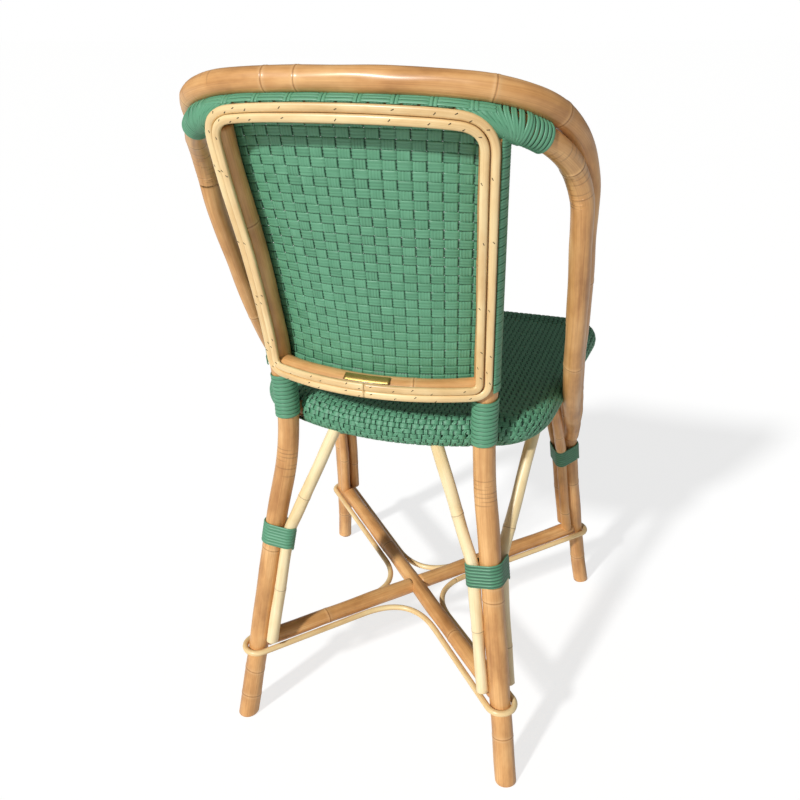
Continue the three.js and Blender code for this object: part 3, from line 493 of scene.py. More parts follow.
class Line:
    """A curve kept as close points, with its length measured along them."""

    def __init__(self, points):
        points = np.asarray(points, float)
        apart = np.diff(lengths(points), prepend=-1) > SAME_SPOT
        self.points = points[apart]
        self.marks = lengths(self.points)
        self.length = self.marks[-1]

    def at(self, marks):
        return np.stack([np.interp(marks, self.marks, c) for c in self.points.T], -1)

    def where(self, axis, value, low=0.0, high=1.0):
        """The first mark, between two shares of the length, where a coordinate has a value."""
        marks = np.linspace(low, high, FINE) * self.length
        off = self.at(marks)[:, axis] - value
        turns = np.nonzero(off[:-1] * off[1:] <= 0)[0]
        if not len(turns):
            return marks[np.argmin(np.abs(off))]
        i = turns[0]
        return mix(marks[i], marks[i + 1], off[i] / ((off[i] - off[i + 1]) or 1))

    def spot(self, axis, value, low=0.0, high=1.0):
        return self.at(self.where(axis, value, low, high))

    def along(self, marks):
        """The direction of the curve at a mark, measured over a short stretch."""
        low, high = (self.at(np.clip(marks + reach, 0, self.length)) for reach in (-STATION / 4, STATION / 4))
        return unit(high - low)


def hoop_spot(width, depth, height):
    y = mix(HOOP_TIP_Y, HOOP_BACK_Y, depth) + CENTRE_Y
    return at(width * (SEAT_SIDE_HALF + HOOP_OUT), y, mix(HOOP_TIP_Z, HOOP_TOP_Z, height))


half_hoop = [hoop_spot(*shares) for shares in hoop_shares]


def outer_half():
    out = []
    for i, (outwards, forwards, upwards) in enumerate(outer_hoop_shares):
        along = unit(half_hoop[min(i + 1, len(half_hoop) - 1)] - half_hoop[max(i - 1, 0)])
        away = square_to(at(outwards, -forwards, upwards), along)
        out.append(half_hoop[i] + away * HOOP_SPACING)
    return out


def both_halves(half):
    return [*half, *mirror(half, -1)[::-1][1:]]


hoop_line = Line(spline(both_halves(half_hoop)))
outer_line = Line(spline(both_halves(outer_half())))
hoop_steps = hoop_line.at(np.linspace(HOOP_TOP_SHARE, MIDDLE, FINE) * hoop_line.length)[::-1]


def hoop_middle(x):
    """Depth and height of the inner hoop's middle line over x, on the back's top rail."""
    return follow(np.abs(x), hoop_steps, 0)[1:]


def hoop_mark(side, x):
    """Where the top part of the inner hoop passes x, on one side."""
    span = (HOOP_TOP_SHARE, MIDDLE) if side > 0 else (MIDDLE, 1 - HOOP_TOP_SHARE)
    return hoop_line.where(0, side * x, *span)


# Rear legs and posts

hoop_at_post = hoop_middle(POST_TOP_X)
post_top = at(POST_TOP_X, hoop_at_post[0] + hoop_r - rear_r, hoop_at_post[1])
rear_seat = at(REAR_SEAT[0], REAR_SEAT[1] + CENTRE_Y, SEAT_Z)
rear_foot = at(REAR_FOOT[0], REAR_FOOT[1] + CENTRE_Y, 0)


def rear_line(side):
    below_floor = mix(rear_foot, rear_seat, -BELOW_FLOOR / SEAT_Z)
    posts = [rear_seat + (post_top - rear_seat) * shares for shares in np.array(post_shares)]
    legs = [mix(rear_foot, rear_seat, share) for share in leg_shares]
    return Line(mirror(spline([below_floor, *legs, *posts, post_top]), side))


rear_lines = [rear_line(side) for _, side in SIDES]
post_steps = rear_lines[0].points[rear_lines[0].points[:, 2] > SEAT_Z]
post_lines = {side: Line(mirror(post_steps, side)) for _, side in SIDES}


def post_spot(z):
    return follow(z, post_steps, 2)[:2]


rail_end = post_spot(BACK_RAIL_Z)


def rail_y(x):
    return rail_end[1] + rear_r - rail_r + BACK_RAIL_BOW * (1 - (x / rail_end[0]) ** 2)


def rail_points(x):
    return np.column_stack([x, rail_y(x), np.full_like(x, BACK_RAIL_Z)])


def back_depth(x, z):
    """The back's middle surface, through the posts and both rails."""
    top_y, top_z = hoop_middle(x)
    share = (z - BACK_RAIL_Z) / (top_z - BACK_RAIL_Z)
    low = rail_y(x) + rail_r - rear_r - rail_end[1]
    high = top_y + hoop_r - rear_r - post_top[1]
    return post_spot(np.minimum(z, post_top[2]))[1] + (1 - share) * low + share * high


def back_normal(x, z):
    reach = BACK_RAIL_D
    across = (back_depth(x + reach, z) - back_depth(x - reach, z)) / (2 * reach)
    middle = np.minimum(z, post_top[2] - reach)
    upwards = (back_depth(x, middle + reach) - back_depth(x, middle - reach)) / (2 * reach)
    return unit(np.stack([-across, np.ones_like(across), -upwards], -1))


seat_rear_y = REAR_SEAT[1] - rear_r - seat_r - GAP


def seat_plan():
    """The seat pole's middle line in plan, clockwise from the middle of the rear rail."""
    flare = (SEAT_FRONT_HALF - SEAT_SIDE_HALF) / (SEAT_SIDE_Y - SEAT_FRONT_Y)
    corner_half = SEAT_FRONT_HALF - flare * SEAT_FRONT_CORNER
    rear = (REAR_SEAT[0], seat_rear_y)
    middle = (0, seat_rear_y + SEAT_REAR_BOW)
    rear_bend = (SEAT_SIDE_HALF - SEAT_REAR_CORNER_IN, seat_rear_y - SEAT_REAR_CORNER_FORWARD)
    front = (SEAT_FRONT_HALF - SEAT_FRONT_CORNER, SEAT_FRONT_Y)
    bow = bend((-front[0], front[1]), (0, SEAT_FRONT_Y - SEAT_FRONT_BOW), front, BOW_STEPS)
    half = np.vstack([
        bend(middle, (REAR_SEAT[0] / 2, middle[1]), rear),
        bend(rear, rear_bend, (SEAT_SIDE_HALF, SEAT_SIDE_Y))[1:],
        bend((corner_half, SEAT_FRONT_Y + SEAT_FRONT_CORNER), (SEAT_FRONT_HALF, SEAT_FRONT_Y), front),
        bow[::-1][1 : len(bow) // 2 + 1],
    ])
    plan = np.vstack([half, (half * (-1, 1))[::-1]])
    return plan + (0, CENTRE_Y)


seat_line = Line(level(seat_plan(), SEAT_Z))


def seat_mark(y, side):
    """Where the seat's pole passes y, on one side."""
    span = (0, MIDDLE) if side > 0 else (MIDDLE, 1)
    return seat_line.where(1, y, *span)


front_foot = at(FRONT_FOOT[0], FRONT_FOOT[1] + CENTRE_Y, 0)
front_top = seat_line.at(seat_mark(FRONT_TOP_Y + CENTRE_Y, 1))
front_bow = bend(mix(front_foot, front_top, -BELOW_FLOOR / SEAT_Z),
                 mix(front_foot, front_top, MIDDLE) - (2 * FRONT_LEG_BOW, 0, 0), front_top)
front_lines = [Line(mirror(front_bow, side)) for _, side in SIDES]


# Meshes

def directions(points, ups, closed=False):
    if closed:
        along = unit(np.roll(points, -1, 0) - np.roll(points, 1, 0))
    else:
        along = unit(np.gradient(points, axis=0))
    side = unit(np.cross(np.broadcast_to(ups, points.shape), along))
    return along, side, np.cross(along, side)


def swept(points, ups, across, height, closed=False):
    """Rings of points along a path, from a section's places across it and its heights."""
    _, side, top = directions(points, ups, closed)
    return points[:, None] + side[:, None] * across[..., None] + top[:, None] * height[..., None]


def circle(sides):
    turn = np.linspace(0, 2 * math.pi, sides, endpoint=False)
    return np.cos(turn), np.sin(turn), turn


def placed(name, data):
    piece = bpy.data.objects.new(name, data)
    bpy.context.scene.collection.objects.link(piece)
    return piece


class Batch:
    """Gathers swept bodies into the one mesh of a piece."""

    def __init__(self):
        self.verts, self.faces, self.flat, self.uvs, self.tones = [], [], [], [], []
        self.count = 0

    def add(self, rings, marks, rounds, tone=0.0, closed=False):
        """Adds rings of (stations, points, 3); marks and rounds give the grain's coordinates."""
        n, k = rings.shape[:2]
        i, j = np.meshgrid(np.arange(n if closed else n - 1), np.arange(k), indexing="ij")
        i, j = i.ravel(), j.ravel()
        i2, j2 = (i + 1) % n, (j + 1) % k
        quads = np.stack([i * k + j, i * k + j2, i2 * k + j2, i2 * k + j], -1) + self.count
        self.verts.append(rings.reshape(-1, 3))
        self.tones.append(np.broadcast_to(np.asarray(tone, float), (n, k)).ravel())
        self.faces.extend(quads.tolist())
        u = np.append(rounds, rounds[-1] + (rounds[1] - rounds[0]))
        v = np.append(marks, marks[-1] + (marks[-1] - marks[-2]))
        corners = [(u[j], v[i]), (u[j + 1], v[i]), (u[j + 1], v[i + 1]), (u[j], v[i + 1])]
        self.uvs.append(np.stack([np.stack(c, -1) for c in corners], 1).reshape(-1, 2))
        ends = () if closed else ((0, range(k - 1, -1, -1), marks[0]), ((n - 1) * k, range(k), marks[-1]))
        for start, order, edge in ends:
            self.flat.append(len(self.faces))
            self.faces.append([self.count + start + m for m in order])
            self.uvs.append(np.array([(u[m], edge) for m in order]))
        self.count += n * k
        return self

    def make(self, node, slot=None):
        """Makes the piece for a CAD node; one without a slot is a piece of its own."""
        kind, material = LOOKS[slot]
        name = f"{node}_{kind}" if slot else node
        mesh = self.mesh(name)
        mesh.materials.append(material)
        piece = placed(name, mesh)
        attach(piece, "root")
        if slot:
            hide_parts(node)
        return piece

    def mesh(self, name):
        mesh = bpy.data.meshes.new(name)
        mesh.from_pydata(np.vstack(self.verts), [], self.faces)
        smooth = np.ones(len(self.faces), bool)
        smooth[self.flat] = False
        mesh.polygons.foreach_set("use_smooth", smooth)
        layer = mesh.uv_layers.new(name="Grain")
        layer.uv.foreach_set("vector", np.vstack(self.uvs).ravel())
        tone = mesh.attributes.new("tone", "FLOAT", "POINT")
        tone.data.foreach_set("value", np.concatenate(self.tones))
        mesh.validate()
        return mesh


def stations(start, end, rings):
    """Marks along a pole, closer together beside its growth rings."""
    marks = [np.linspace(start, end, int((end - start) / STATION))]
    for ring in rings:
        marks.append(np.arange(ring - RING_REACH, ring + RING_REACH, RING_STATION))
    marks = np.unique(np.concatenate(marks))
    marks = marks[(marks > start) & (marks < end)]
    return np.concatenate([[start], marks, [end]])


def bevelled(rings, marks, tone, radius):
    """Draws both end rings in and puts a full one in behind each."""
    for end, inner, place in ((0, 1, 1), (-1, -2, -1)):
        edge = rings[end].copy()
        inward = unit(rings[inner].mean(0) - edge.mean(0))
        rings[end] = mix(edge.mean(0), edge, 1 - END_BEVEL / radius)
        rings = np.insert(rings, place, edge + inward * END_BEVEL, 0)
        marks = np.insert(marks, place, marks[end])
        tone = np.insert(tone, place, tone[end], 0)
    return rings, marks, tone


def pole(name, line, radius, span, ups, tilt, offset, shares=(), sides=POLE_SIDES, taper=None,
         on_floor=False, slot="rattan_pole"):
    """A cane with growth rings, fine wrinkles with painted shade in their creases, a slightly uneven surface
    and bevelled ends.
    """
    rings = [share * line.length for share in ring_shares.get(name, shares)]
    wrinkles = [share * line.length for run in wrinkle_shares.get(name, ()) for share in np.linspace(*run)]
    marks = stations(*span, rings + wrinkles)
    cos, sin, turn = circle(sides)
    count = len(WOBBLE_WAVES)
    waves = random.uniform(0, 2 * math.pi, 2 * count)
    grown = np.full((len(marks), sides), radius)
    for i, (wave_length, round_waves) in enumerate(WOBBLE_WAVES):
        phase = marks[:, None] * 2 * math.pi / wave_length + waves[i]
        grown += WOBBLE * np.sin(phase + round_waves * turn + waves[i + count])
    if taper:
        grown *= taper(marks)[:, None]
    tone = np.zeros_like(grown)
    for i, ring in enumerate(rings):
        away = marks[:, None] - ring - tilt * radius * np.sin(turn + i)
        grown += RING_SWELL * hump(away, RING_SWELL_REACH) - RING_CUT * hump(away, RING_CUT_W)
        tone += RING_GLOW * hump(away, RING_GLOW_REACH) - hump(away, RING_DARK_W)
    for wrinkle in wrinkles:
        weight = np.maximum(np.cos(turn - random.uniform(0, 2 * math.pi)), 0) ** 0.5
        fold = hump(marks[:, None] - wrinkle, RING_CUT_W) * weight
        grown -= WRINKLE_CUT * fold
        # painted shade in the wrinkle's crease
        tone -= WRINKLE_SHADE * fold
    points = line.at(marks)
    body = swept(points, ups(marks) if callable(ups) else ups, grown * cos, grown * sin)
    if on_floor:
        along = unit(points[1] - points[0])
        body[0] -= along * (body[0, :, 2:] / along[2])
    body, marks, tone = bevelled(body, marks, tone, radius)
    return Batch().add(body, marks + offset, turn * radius, tone).make(name, slot)


def cord(batch, points, width, height, ups, edge=0.0, sides=CORD_SIDES):
    """A round or flattened cord; width across, height towards ups, edge the painted shade on its sides."""
    cos, sin, turn = circle(sides)
    rings = swept(points, ups, cos * width / 2, sin * height / 2)
    # painted shade on the cord's sides, between neighbouring turns
    tone = random.uniform(0, STRAND_TINT) * bool(edge) - edge * np.abs(cos) ** CORD_SIDE_SHADE_POWER
    return batch.add(rings, lengths(points), turn * width / 2, tone)


def strip(batch, points, ups, section, tone=0.0, offset=0.0, valley_shade=0.0):
    """Sweeps a section of (across, height) pairs, height towards ups, with painted shade between its ribs."""
    section = np.asarray(section, float)
    height = np.abs(section[:, 1])
    valley = (height.max() - height) / np.ptp(height)
    # painted shade in the valleys between the ribs
    tone = np.reshape(tone, (-1, 1)) - valley_shade * valley
    return batch.add(swept(points, ups, *section.T), lengths(points) + offset, lengths(section), tone)


# Materials

def linear(colour):
    values = [c / 255 for c in colour]
    return [c / 12.92 if c <= 0.04045 else ((c + 0.055) / 1.055) ** 2.4 for c in values] + [1.0]


def fill(tree, socket, value):
    """Links a socket to another one, or gives it a value."""
    if isinstance(value, bpy.types.NodeSocket):
        tree.links.new(value, socket)
    else:
        socket.default_value = value


class Nodes:
    """Short names for building a material's nodes."""

    def __init__(self, name):
        self.material = bpy.data.materials.new(name)
        self.material.use_nodes = True
        self.tree = self.material.node_tree
        self.shader = self.tree.nodes["Principled BSDF"]

    def new(self, kind, inputs=(), **values):
        """Adds a node; inputs are pairs of a socket and the value or the socket that fills it."""
        node = self.tree.nodes.new("ShaderNode" + kind)
        for key, value in values.items():
            setattr(node, key, value)
        for key, value in inputs:
            fill(self.tree, node.inputs[key], value)
        return node

    def noise(self, grain):
        """A noise that runs along the piece, by the name of its grain."""
        scale, place, detail, rough = grains[grain]
        uv = self.new("UVMap", uv_map="Grain").outputs["UV"]
        spot = self.new("Mapping", (("Vector", uv), ("Location", place), ("Scale", scale)))
        inputs = (("Vector", spot.outputs["Vector"]), ("Scale", 1), ("Detail", detail), ("Roughness", rough))
        return self.new("TexNoise", inputs).outputs["Fac"]

    def ramp(self, value, stops):
        node = self.new("ValToRGB", (("Fac", value),))
        elements = node.color_ramp.elements
        while len(elements) < len(stops):
            elements.new(MIDDLE)
        for element, (position, colour) in zip(elements, stops):
            element.position = position
            element.color = linear(colour)
        return node.outputs["Color"]

    def blend(self, share, a, b, kind="MIX"):
        """Mixes colours; the mixing node's sockets for them are told apart by number."""
        return self.new("Mix", ((0, share), (6, a), (7, b)), data_type="RGBA", blend_type=kind).outputs[2]

    def map(self, value, source, target):
        inputs = zip(("Value", "From Min", "From Max", "To Min", "To Max"), (value, *source, *target))
        return self.new("MapRange", inputs).outputs["Result"]

    def tone(self, far, share):
        """How much a colour counts where the tone goes from 0 to far."""
        value = self.new("Attribute", attribute_name="tone").outputs["Fac"]
        return self.map(value, (0, far), (0, share))

    def bump(self, height, distance, strength=1.0):
        inputs = (("Height", height), ("Distance", distance), ("Strength", strength))
        self.set(Normal=self.new("Bump", inputs).outputs["Normal"])

    def set(self, **values):
        for key, value in values.items():
            fill(self.tree, self.shader.inputs[key.replace("_", " ")], value)


def cane(name):
    """Varnished cane: faint streaks along it, soft blotches, dark growth rings and painted shade in its
    wrinkles.
    """
    n = Nodes(name)
    streaks, veins = n.noise("streaks"), n.noise("veins")
    base = n.ramp(n.noise("blotches"), cane_ramps[name])
    base = n.blend(vein_shares[name], base, n.ramp(veins, vein_ramp), "MULTIPLY")
    base = n.blend(vein_shares[name], base, n.ramp(streaks, streak_ramp), "MULTIPLY")
    # dark growth rings, and painted shade in the wrinkles
    base = n.blend(n.tone(-1, RING_MARK_AND_CREASE_SHARE), base, linear(RING_MARK_AND_CREASE_SHADE))
    base = n.blend(n.tone(GLOW_TONE, GLOW_SHARE), base, linear(GLOW_COLOUR))
    n.set(Base_Color=base, Roughness=n.map(veins, GRAIN_SPAN, CANE_ROUGH),
          Coat_Weight=CANE_COAT, Coat_Roughness=CANE_COAT_ROUGH)
    n.bump(streaks, STREAK_RELIEF, STREAK_STRENGTH)
    return n.material


def plastic_strand(name):
    """Extruded green strand, slightly glossy, with painted shade where it dips below its neighbours, between
    its ribs and on the sides of cord turns.
    """
    n = Nodes(name)
    lines = n.noise("strand lines")
    base = n.ramp(n.noise("strand clouds"), strand_ramp)
    base = n.blend(n.tone(1, STRAND_LIGHT_SHARE), base, linear(STRAND_LIGHT))
    base = n.blend(STRAND_LINE_SHARE, base, n.ramp(lines, strand_line_ramp), "MULTIPLY")
    # painted shade where the tone goes below 0
    base = n.blend(n.tone(-1, STRAND_SHADE), base, linear(STRAND_SHADE_COLOUR))
    n.set(Base_Color=base, Roughness=n.map(lines, GRAIN_SPAN, STRAND_ROUGH),
          Coat_Weight=STRAND_COAT, Coat_Roughness=STRAND_COAT_ROUGH)
    n.bump(lines, LINE_RELIEF)
    return n.material


def metal(name, grain, stops, share, rough):
    """Worn metal whose colour and gloss vary with its grain."""
    n = Nodes(name)
    wear = n.noise(grain)
    n.set(Base_Color=n.ramp(wear, stops), Metallic=share, Roughness=n.map(wear, GRAIN_SPAN, rough))
    return n, wear


def brass(name):
    n, brushed = metal(name, "brushed", brass_ramp, BRASS_METAL, BRASS_ROUGH)
    n.bump(brushed, LINE_RELIEF)
    return n.material


def dark_metal(name):
    return metal(name, "spots", nail_ramp, NAIL_METAL, NAIL_ROUGH)[0].material


GREEN = plastic_strand("green_strand")
# The kind and the material of the pieces of each slot; the nails have no slot
LOOKS = {
    "rattan_pole": ("cane", cane("rattan")),
    "pale_rattan": ("cane", cane("pale_rattan")),
    "pale_strip": ("strip", cane("pale_strip")),
    "green_weave": ("strands", GREEN),
    "green_cord": ("cord", GREEN),
    "plate": ("sheet", brass("brass")),
    None: (None, dark_metal("nail")),
}


# Poles

def hoop_ups(line, other, sign):
    def ups(marks):
        share = marks / line.length
        return sign * (other.at(share * other.length) - line.at(marks))
    return ups


def hoop_taper(length):
    def taper(marks):
        near = np.minimum(marks, length - marks) / length
        return mix(HOOP_TIP_D / HOOP_D, 1, np.clip(near / HOOP_TAPER_SHARE, 0, 1))
    return taper


def leg_cutter(leg):
    """A cylinder along a front leg, a gap thicker than it."""
    marks = np.linspace(0, leg.length, CUTTER_STEPS)
    cos, sin, turn = circle(CUTTER_SIDES)
    radius = front_r + GAP
    rings = swept(leg.at(marks), REAR, radius * cos, radius * sin)
    return placed("cutter", Batch().add(rings, marks, turn * radius).mesh("cutter"))


def carve(piece, cutters):
    """Cuts a piece that nests against others to shape, and keeps the result as its mesh."""
    for i, cutter in enumerate(cutters):
        modifier = piece.modifiers.new(f"cut{i}", "BOOLEAN")
        modifier.operation = "DIFFERENCE"
        modifier.solver = "EXACT"
        modifier.object = cutter
    bpy.context.view_layer.update()
    found = piece.evaluated_get(bpy.context.evaluated_depsgraph_get())
    mesh = bpy.data.meshes.new_from_object(found)
    piece.modifiers.clear()
    piece.data = mesh
    for cutter in cutters:
        bpy.data.objects.remove(cutter, do_unlink=True)


def hoops():
    for name, line, other, sign in (
            ("inner_hoop", hoop_line, outer_line, 1), ("outer_hoop", outer_line, hoop_line, -1)):
        piece = pole(name, line, hoop_r, (0, line.length), hoop_ups(line, other, sign), HOOP_TILT,
                     sign * HOOP_GRAIN, taper=hoop_taper(line.length))
        carve(piece, [leg_cutter(leg) for leg in front_lines])


def legs(kind, lines, radius, short, grain):
    """A pair of legs, cut level on the floor and ending short of the upper pole's middle."""
    for (name, side), line in zip(SIDES, lines):
        pole(f"{kind}_leg_{name}", line, radius, (line.where(2, 0), line.length - short), REAR, LEG_TILT,
             side * grain, on_floor=True)


def back_rail():
    x = np.linspace(-rail_end[0], rail_end[0], RAIL_STEPS)
    line = Line(rail_points(x))
    span = (rear_r / 2, line.length - rear_r / 2)
    pole("back_bottom_rail", line, rail_r, span, UP, THIN_TILT, RAIL_GRAIN)


def low_line(i):
    """From one front leg to the rear leg across, at the stretchers' height."""
    front = front_lines[i].spot(2, STRETCHER_Z + FRONT_RISE)
    return Line([front, rear_lines[1 - i].spot(2, STRETCHER_Z)])


whole_line, split_line = low_line(0), low_line(1)
crossing = whole_line.spot(0, 0)


def stretchers():
    near, far = front_r * STRETCHER_SINK, rear_r * STRETCHER_SINK
    pole("stretcher_whole", whole_line, stretcher_r, (near, whole_line.length - far), UP, LEG_TILT,
         STRETCHER_GRAIN)
    middle, half = split_line.where(0, 0), stretcher_r * HALF_STRETCHER_SINK
    for name, span in (("front", (near, middle - half)), ("rear", (middle + half, split_line.length - far))):
        shares = (mix(*span, HALF_RING_SHARE) / split_line.length,)
        pole(f"stretcher_half_{name}", split_line, stretcher_r, span, UP, LEG_TILT, HALF_GRAIN, shares)


def seat_frame():
    marks = np.linspace(0, seat_line.length, SEAT_POLE_STEPS)[:-1]
    cos, sin, turn = circle(SEAT_POLE_SIDES)
    rings = swept(seat_line.at(marks), UP, seat_r * cos, seat_r * sin, closed=True)
    Batch().add(rings, marks, turn * seat_r, closed=True).make("seat_frame", "rattan_pole")


# Braces

def inner_angle(side):
    return math.pi if side > 0 else 0.0


def beside(line, z, angle, distance):
    """A spot at a distance from a leg's middle line, at a height and on the side of an angle."""
    mark = line.where(2, z)
    spot, along = line.at(mark), line.along(mark)
    return spot + square_to(at(math.cos(angle), math.sin(angle), 0), along) * distance


def rear_rail_spot(side):
    span = (0, MIDDLE / 2) if side > 0 else (1 - MIDDLE / 2, 1)
    return seat_line.spot(0, side * REAR_BRACE_REACH_X, *span)


def front_rail_spot(side):
    share = FRONT_BRACE_REACH_X / (SEAT_FRONT_HALF - SEAT_FRONT_CORNER)
    bow = SEAT_FRONT_BOW / 2 * (1 - share**2)
    return at(side * FRONT_BRACE_REACH_X, SEAT_FRONT_Y - bow + CENTRE_Y, SEAT_Z)


def side_rail_spot(y):
    return lambda side: seat_line.at(seat_mark(y + CENTRE_Y, side))


BRACES = (
    ("rear", "inner", -BRACE_TURN, rear_rail_spot),
    ("rear", "side", REAR_BRACE_TURN, side_rail_spot(REAR_SIDE_BRACE_Y)),
    ("front", "inner", 0.0, front_rail_spot),
    ("front", "side", -FRONT_BRACE_TURN, side_rail_spot(FRONT_SIDE_BRACE_Y)),
)
# For each pair of legs: their lines, radius, the heights of binding and brace ends, the braces' slot
LEGS = {
    "rear": (rear_lines, rear_r, BINDING_Z, BRACE_END_Z, "pale_rattan"),
    "front": (front_lines, front_r, BINDING_Z + FRONT_BINDING_RISE, BRACE_END_Z + FRONT_RISE, "rattan_pole"),
}


def brace_line(leg, turn, reach, i):
    side = SIDES[i][1]
    lines, leg_r, bound, end, _ = LEGS[leg]
    angle = inner_angle(side) + side * turn
    heights = (bound + BINDING_H / 4, bound, bound - BINDING_H, (bound + end) / 2, end)
    low = [beside(lines[i], z, angle, leg_r + brace_r + GAP) for z in heights]
    top = reach(side)
    return Line(spline([top, *(mix(top, low[0], share) for share in brace_shares), *low]))


def braces():
    for leg, kind, turn, reach in BRACES:
        for i, (name, _) in enumerate(SIDES):
            line = brace_line(leg, turn, reach, i)
            shares = [random.uniform(*ends) for ends in brace_ring_shares]
            pole(f"brace_{leg}_{kind}_{name}", line, brace_r, (seat_r + GAP, line.length), REAR, THIN_TILT,
                 random.uniform(0, GRAIN_SPREAD), shares, BRACE_SIDES, slot=LEGS[leg][-1])


# Cord bindings

def hull(points):
    """The convex outline of plane points, counterclockwise."""
    points = sorted(map(tuple, points))

    def half(run):
        out = []
        for p in run:
            while len(out) > 1 and (
                    (out[-1][0] - out[-2][0]) * (p[1] - out[-2][1])
                    - (out[-1][1] - out[-2][1]) * (p[0] - out[-2][0]) <= 0):
                out.pop()
            out.append(p)
        return out[:-1]
    return np.array(half(points) + half(points[::-1]))


def binding(name, line, height, leg_r, angles):
    """A flattened cord wound round a leg together with the braces beside it."""
    mark = line.where(2, height)
    spot, along = line.at(mark), line.along(mark)
    across = unit(np.cross(REAR, along))
    deep = np.cross(along, across)
    discs = [((0, 0), leg_r)]
    for angle in angles:
        away = beside(line, height, angle, leg_r + brace_r + GAP) - spot
        discs.append(((away @ across, away @ deep), brace_r))
    disc = np.column_stack(circle(DISC_STEPS)[:2])
    outline = hull(np.vstack([middle + (radius + GAP + BINDING_T / 2) * disc for middle, radius in discs]))
    outline = Line(np.vstack([outline, outline[:1]]))
    turns = np.arange(BINDING_TURNS * TURN_STEPS + 1) / TURN_STEPS
    flat = outline.at(turns % 1 * outline.length)
    cord_h = BINDING_H / BINDING_TURNS
    rise = (turns - BINDING_TURNS / 2) * (BINDING_H - cord_h) / BINDING_TURNS
    path = spot + np.column_stack([flat, rise]) @ np.array([across, deep, along])
    cord(Batch(), path, BINDING_T, cord_h * CORD_SHARE, along, CORD_SIDE_SHADE).make(name, "green_cord")


def leg_bindings():
    for leg, (lines, leg_r, height, _, _) in LEGS.items():
        for (name, side), line in zip(SIDES, lines):
            angles = [inner_angle(side) + side * turn for owner, _, turn, _ in BRACES if owner == leg]
            binding(f"leg_binding_{leg}_{name}", line, height, leg_r, angles)


def winding(name, line, ends, radius, thickness, turns, ups):
    """A flattened cord wound round a pole between two marks."""
    start, end = sorted(ends)
    cord_w = (end - start) / turns
    share = np.linspace(0, 1, (turns - 1) * WINDING_STEPS + 1)
    marks = mix(start + cord_w / 2, end - cord_w / 2, share)
    centres = line.at(marks)
    _, side, top = directions(centres, ups(marks) if callable(ups) else ups)
    angle = share[:, None] * (turns - 1) * 2 * math.pi
    out = np.cos(angle) * side + np.sin(angle) * top
    path = centres + out * (radius + GAP + thickness / 2)
    cord(Batch(), path, cord_w * CORD_SHARE, thickness, out, CORD_SIDE_SHADE).make(name, "green_cord")


def post_windings():
    for (name, _), line in zip(SIDES, rear_lines):
        ends = [line.where(2, z) for z in (WINDING_BOTTOM_Z, BACK_RAIL_Z - WINDING_BELOW_RAIL)]
        winding(f"post_winding_{name}", line, ends, rear_r, WINDING_T, WINDING_TURNS, REAR)


def hoop_bindings():
    for name, side in SIDES:
        ends = [hoop_mark(side, x) for x in (HOOP_BINDING_FROM_X, HOOP_BINDING_TO_X)]
        winding(f"hoop_binding_{name}", hoop_line, ends, hoop_r, HOOP_BINDING_T, BINDING_TURNS,
                hoop_ups(hoop_line, outer_line, 1))


def corner_wraps():
    """Strands that fan out over the hoop from the corner beside the post."""
    turn = np.linspace(0, 2 * math.pi, FAN_STEPS)
    angle = (turn + FAN_FROM)[:, None]
    way = np.minimum(turn / (2 * math.pi * FAN_BACK_SHARE), 1)
    for name, side in SIDES:
        batch = Batch()
        for i in range(FAN_STRANDS):
            share = i / (FAN_STRANDS - 1)
            low, high = (hoop_mark(side, mix(*ends, share)) for ends in (FAN_LOW_X, FAN_HIGH_X))
            marks = mix(low, high, np.sin(math.pi * way) ** 2)
            along = hoop_line.along(marks)
            rear = square_to(REAR, along)
            over = np.cross(rear, along) * side
            over *= np.sign(over @ UP)[:, None]
            out = rear * np.cos(angle) + over * np.sin(angle)
            points = hoop_line.at(marks) + out * (hoop_r + GAP + FAN_LIFT + FAN_STEP * i)
            strip(batch, points, out, ribbed(FAN_STRAND_W, BACK_STRAND_T, FAN_RIBS),
                  random.uniform(0, STRAND_TINT), random.uniform(0, GRAIN_SPREAD), RIB_VALLEY_SHADE)
        batch.make(f"corner_wrap_{name}", "green_cord")


# Pale strips on the back

def trim_outline(offset):
    """Half of a strip's middle line as seen from behind, from the joint to the top's middle."""
    corner = TRIM_CORNER + offset
    low_corner = TRIM_LOW_CORNER + offset

    def side_x(z):
        return post_spot(np.minimum(z, post_top[2]))[0] + offset

    def top_z(x):
        return hoop_middle(np.minimum(x, POST_TOP_X))[1] + offset + TRIM_RISE
    bottom_z = BACK_RAIL_Z - offset
    low = side_x(bottom_z + low_corner)
    high_z = post_top[2] + offset - corner + TRIM_RISE
    high = side_x(high_z)
    x = np.linspace(TRIM_JOINT / 2, low - low_corner, TRIM_END_STEPS)
    bottom = np.column_stack([x, np.full_like(x, bottom_z)])
    z = np.linspace(bottom_z + low_corner, high_z, TRIM_POST_STEPS)
    post = np.column_stack([side_x(z), z])
    x = np.linspace(high - corner, 0, TRIM_END_STEPS)
    top = np.column_stack([x, top_z(x)])
    return np.vstack([
        bottom, bend(bottom[-1], (low, bottom_z), post[0])[1:], post[1:],
        bend(post[-1], (side_x(post_top[2]), top_z(high)), top[0])[1:], top[1:]])


def trim_path(offset):
    half = trim_outline(offset)
    line = Line(np.vstack([half, (half * (-1, 1))[:-1][::-1]]))
    x, z = line.at(np.linspace(0, line.length, TRIM_STEPS)).T
    ups = unit(back_normal(x, z) * (TRIM_LEAN, 1, 1))
    return np.column_stack([x, back_depth(x, z), z]) + ups * (rear_r + GAP), ups


def crown(sideways, thickness):
    """The height of a split strip's rounded top; sideways goes from -0.5 to 0.5 across it."""
    return thickness * mix(CROWN_EDGE, 1, (1 - (2 * sideways) ** 2) ** CROWN_POWER)


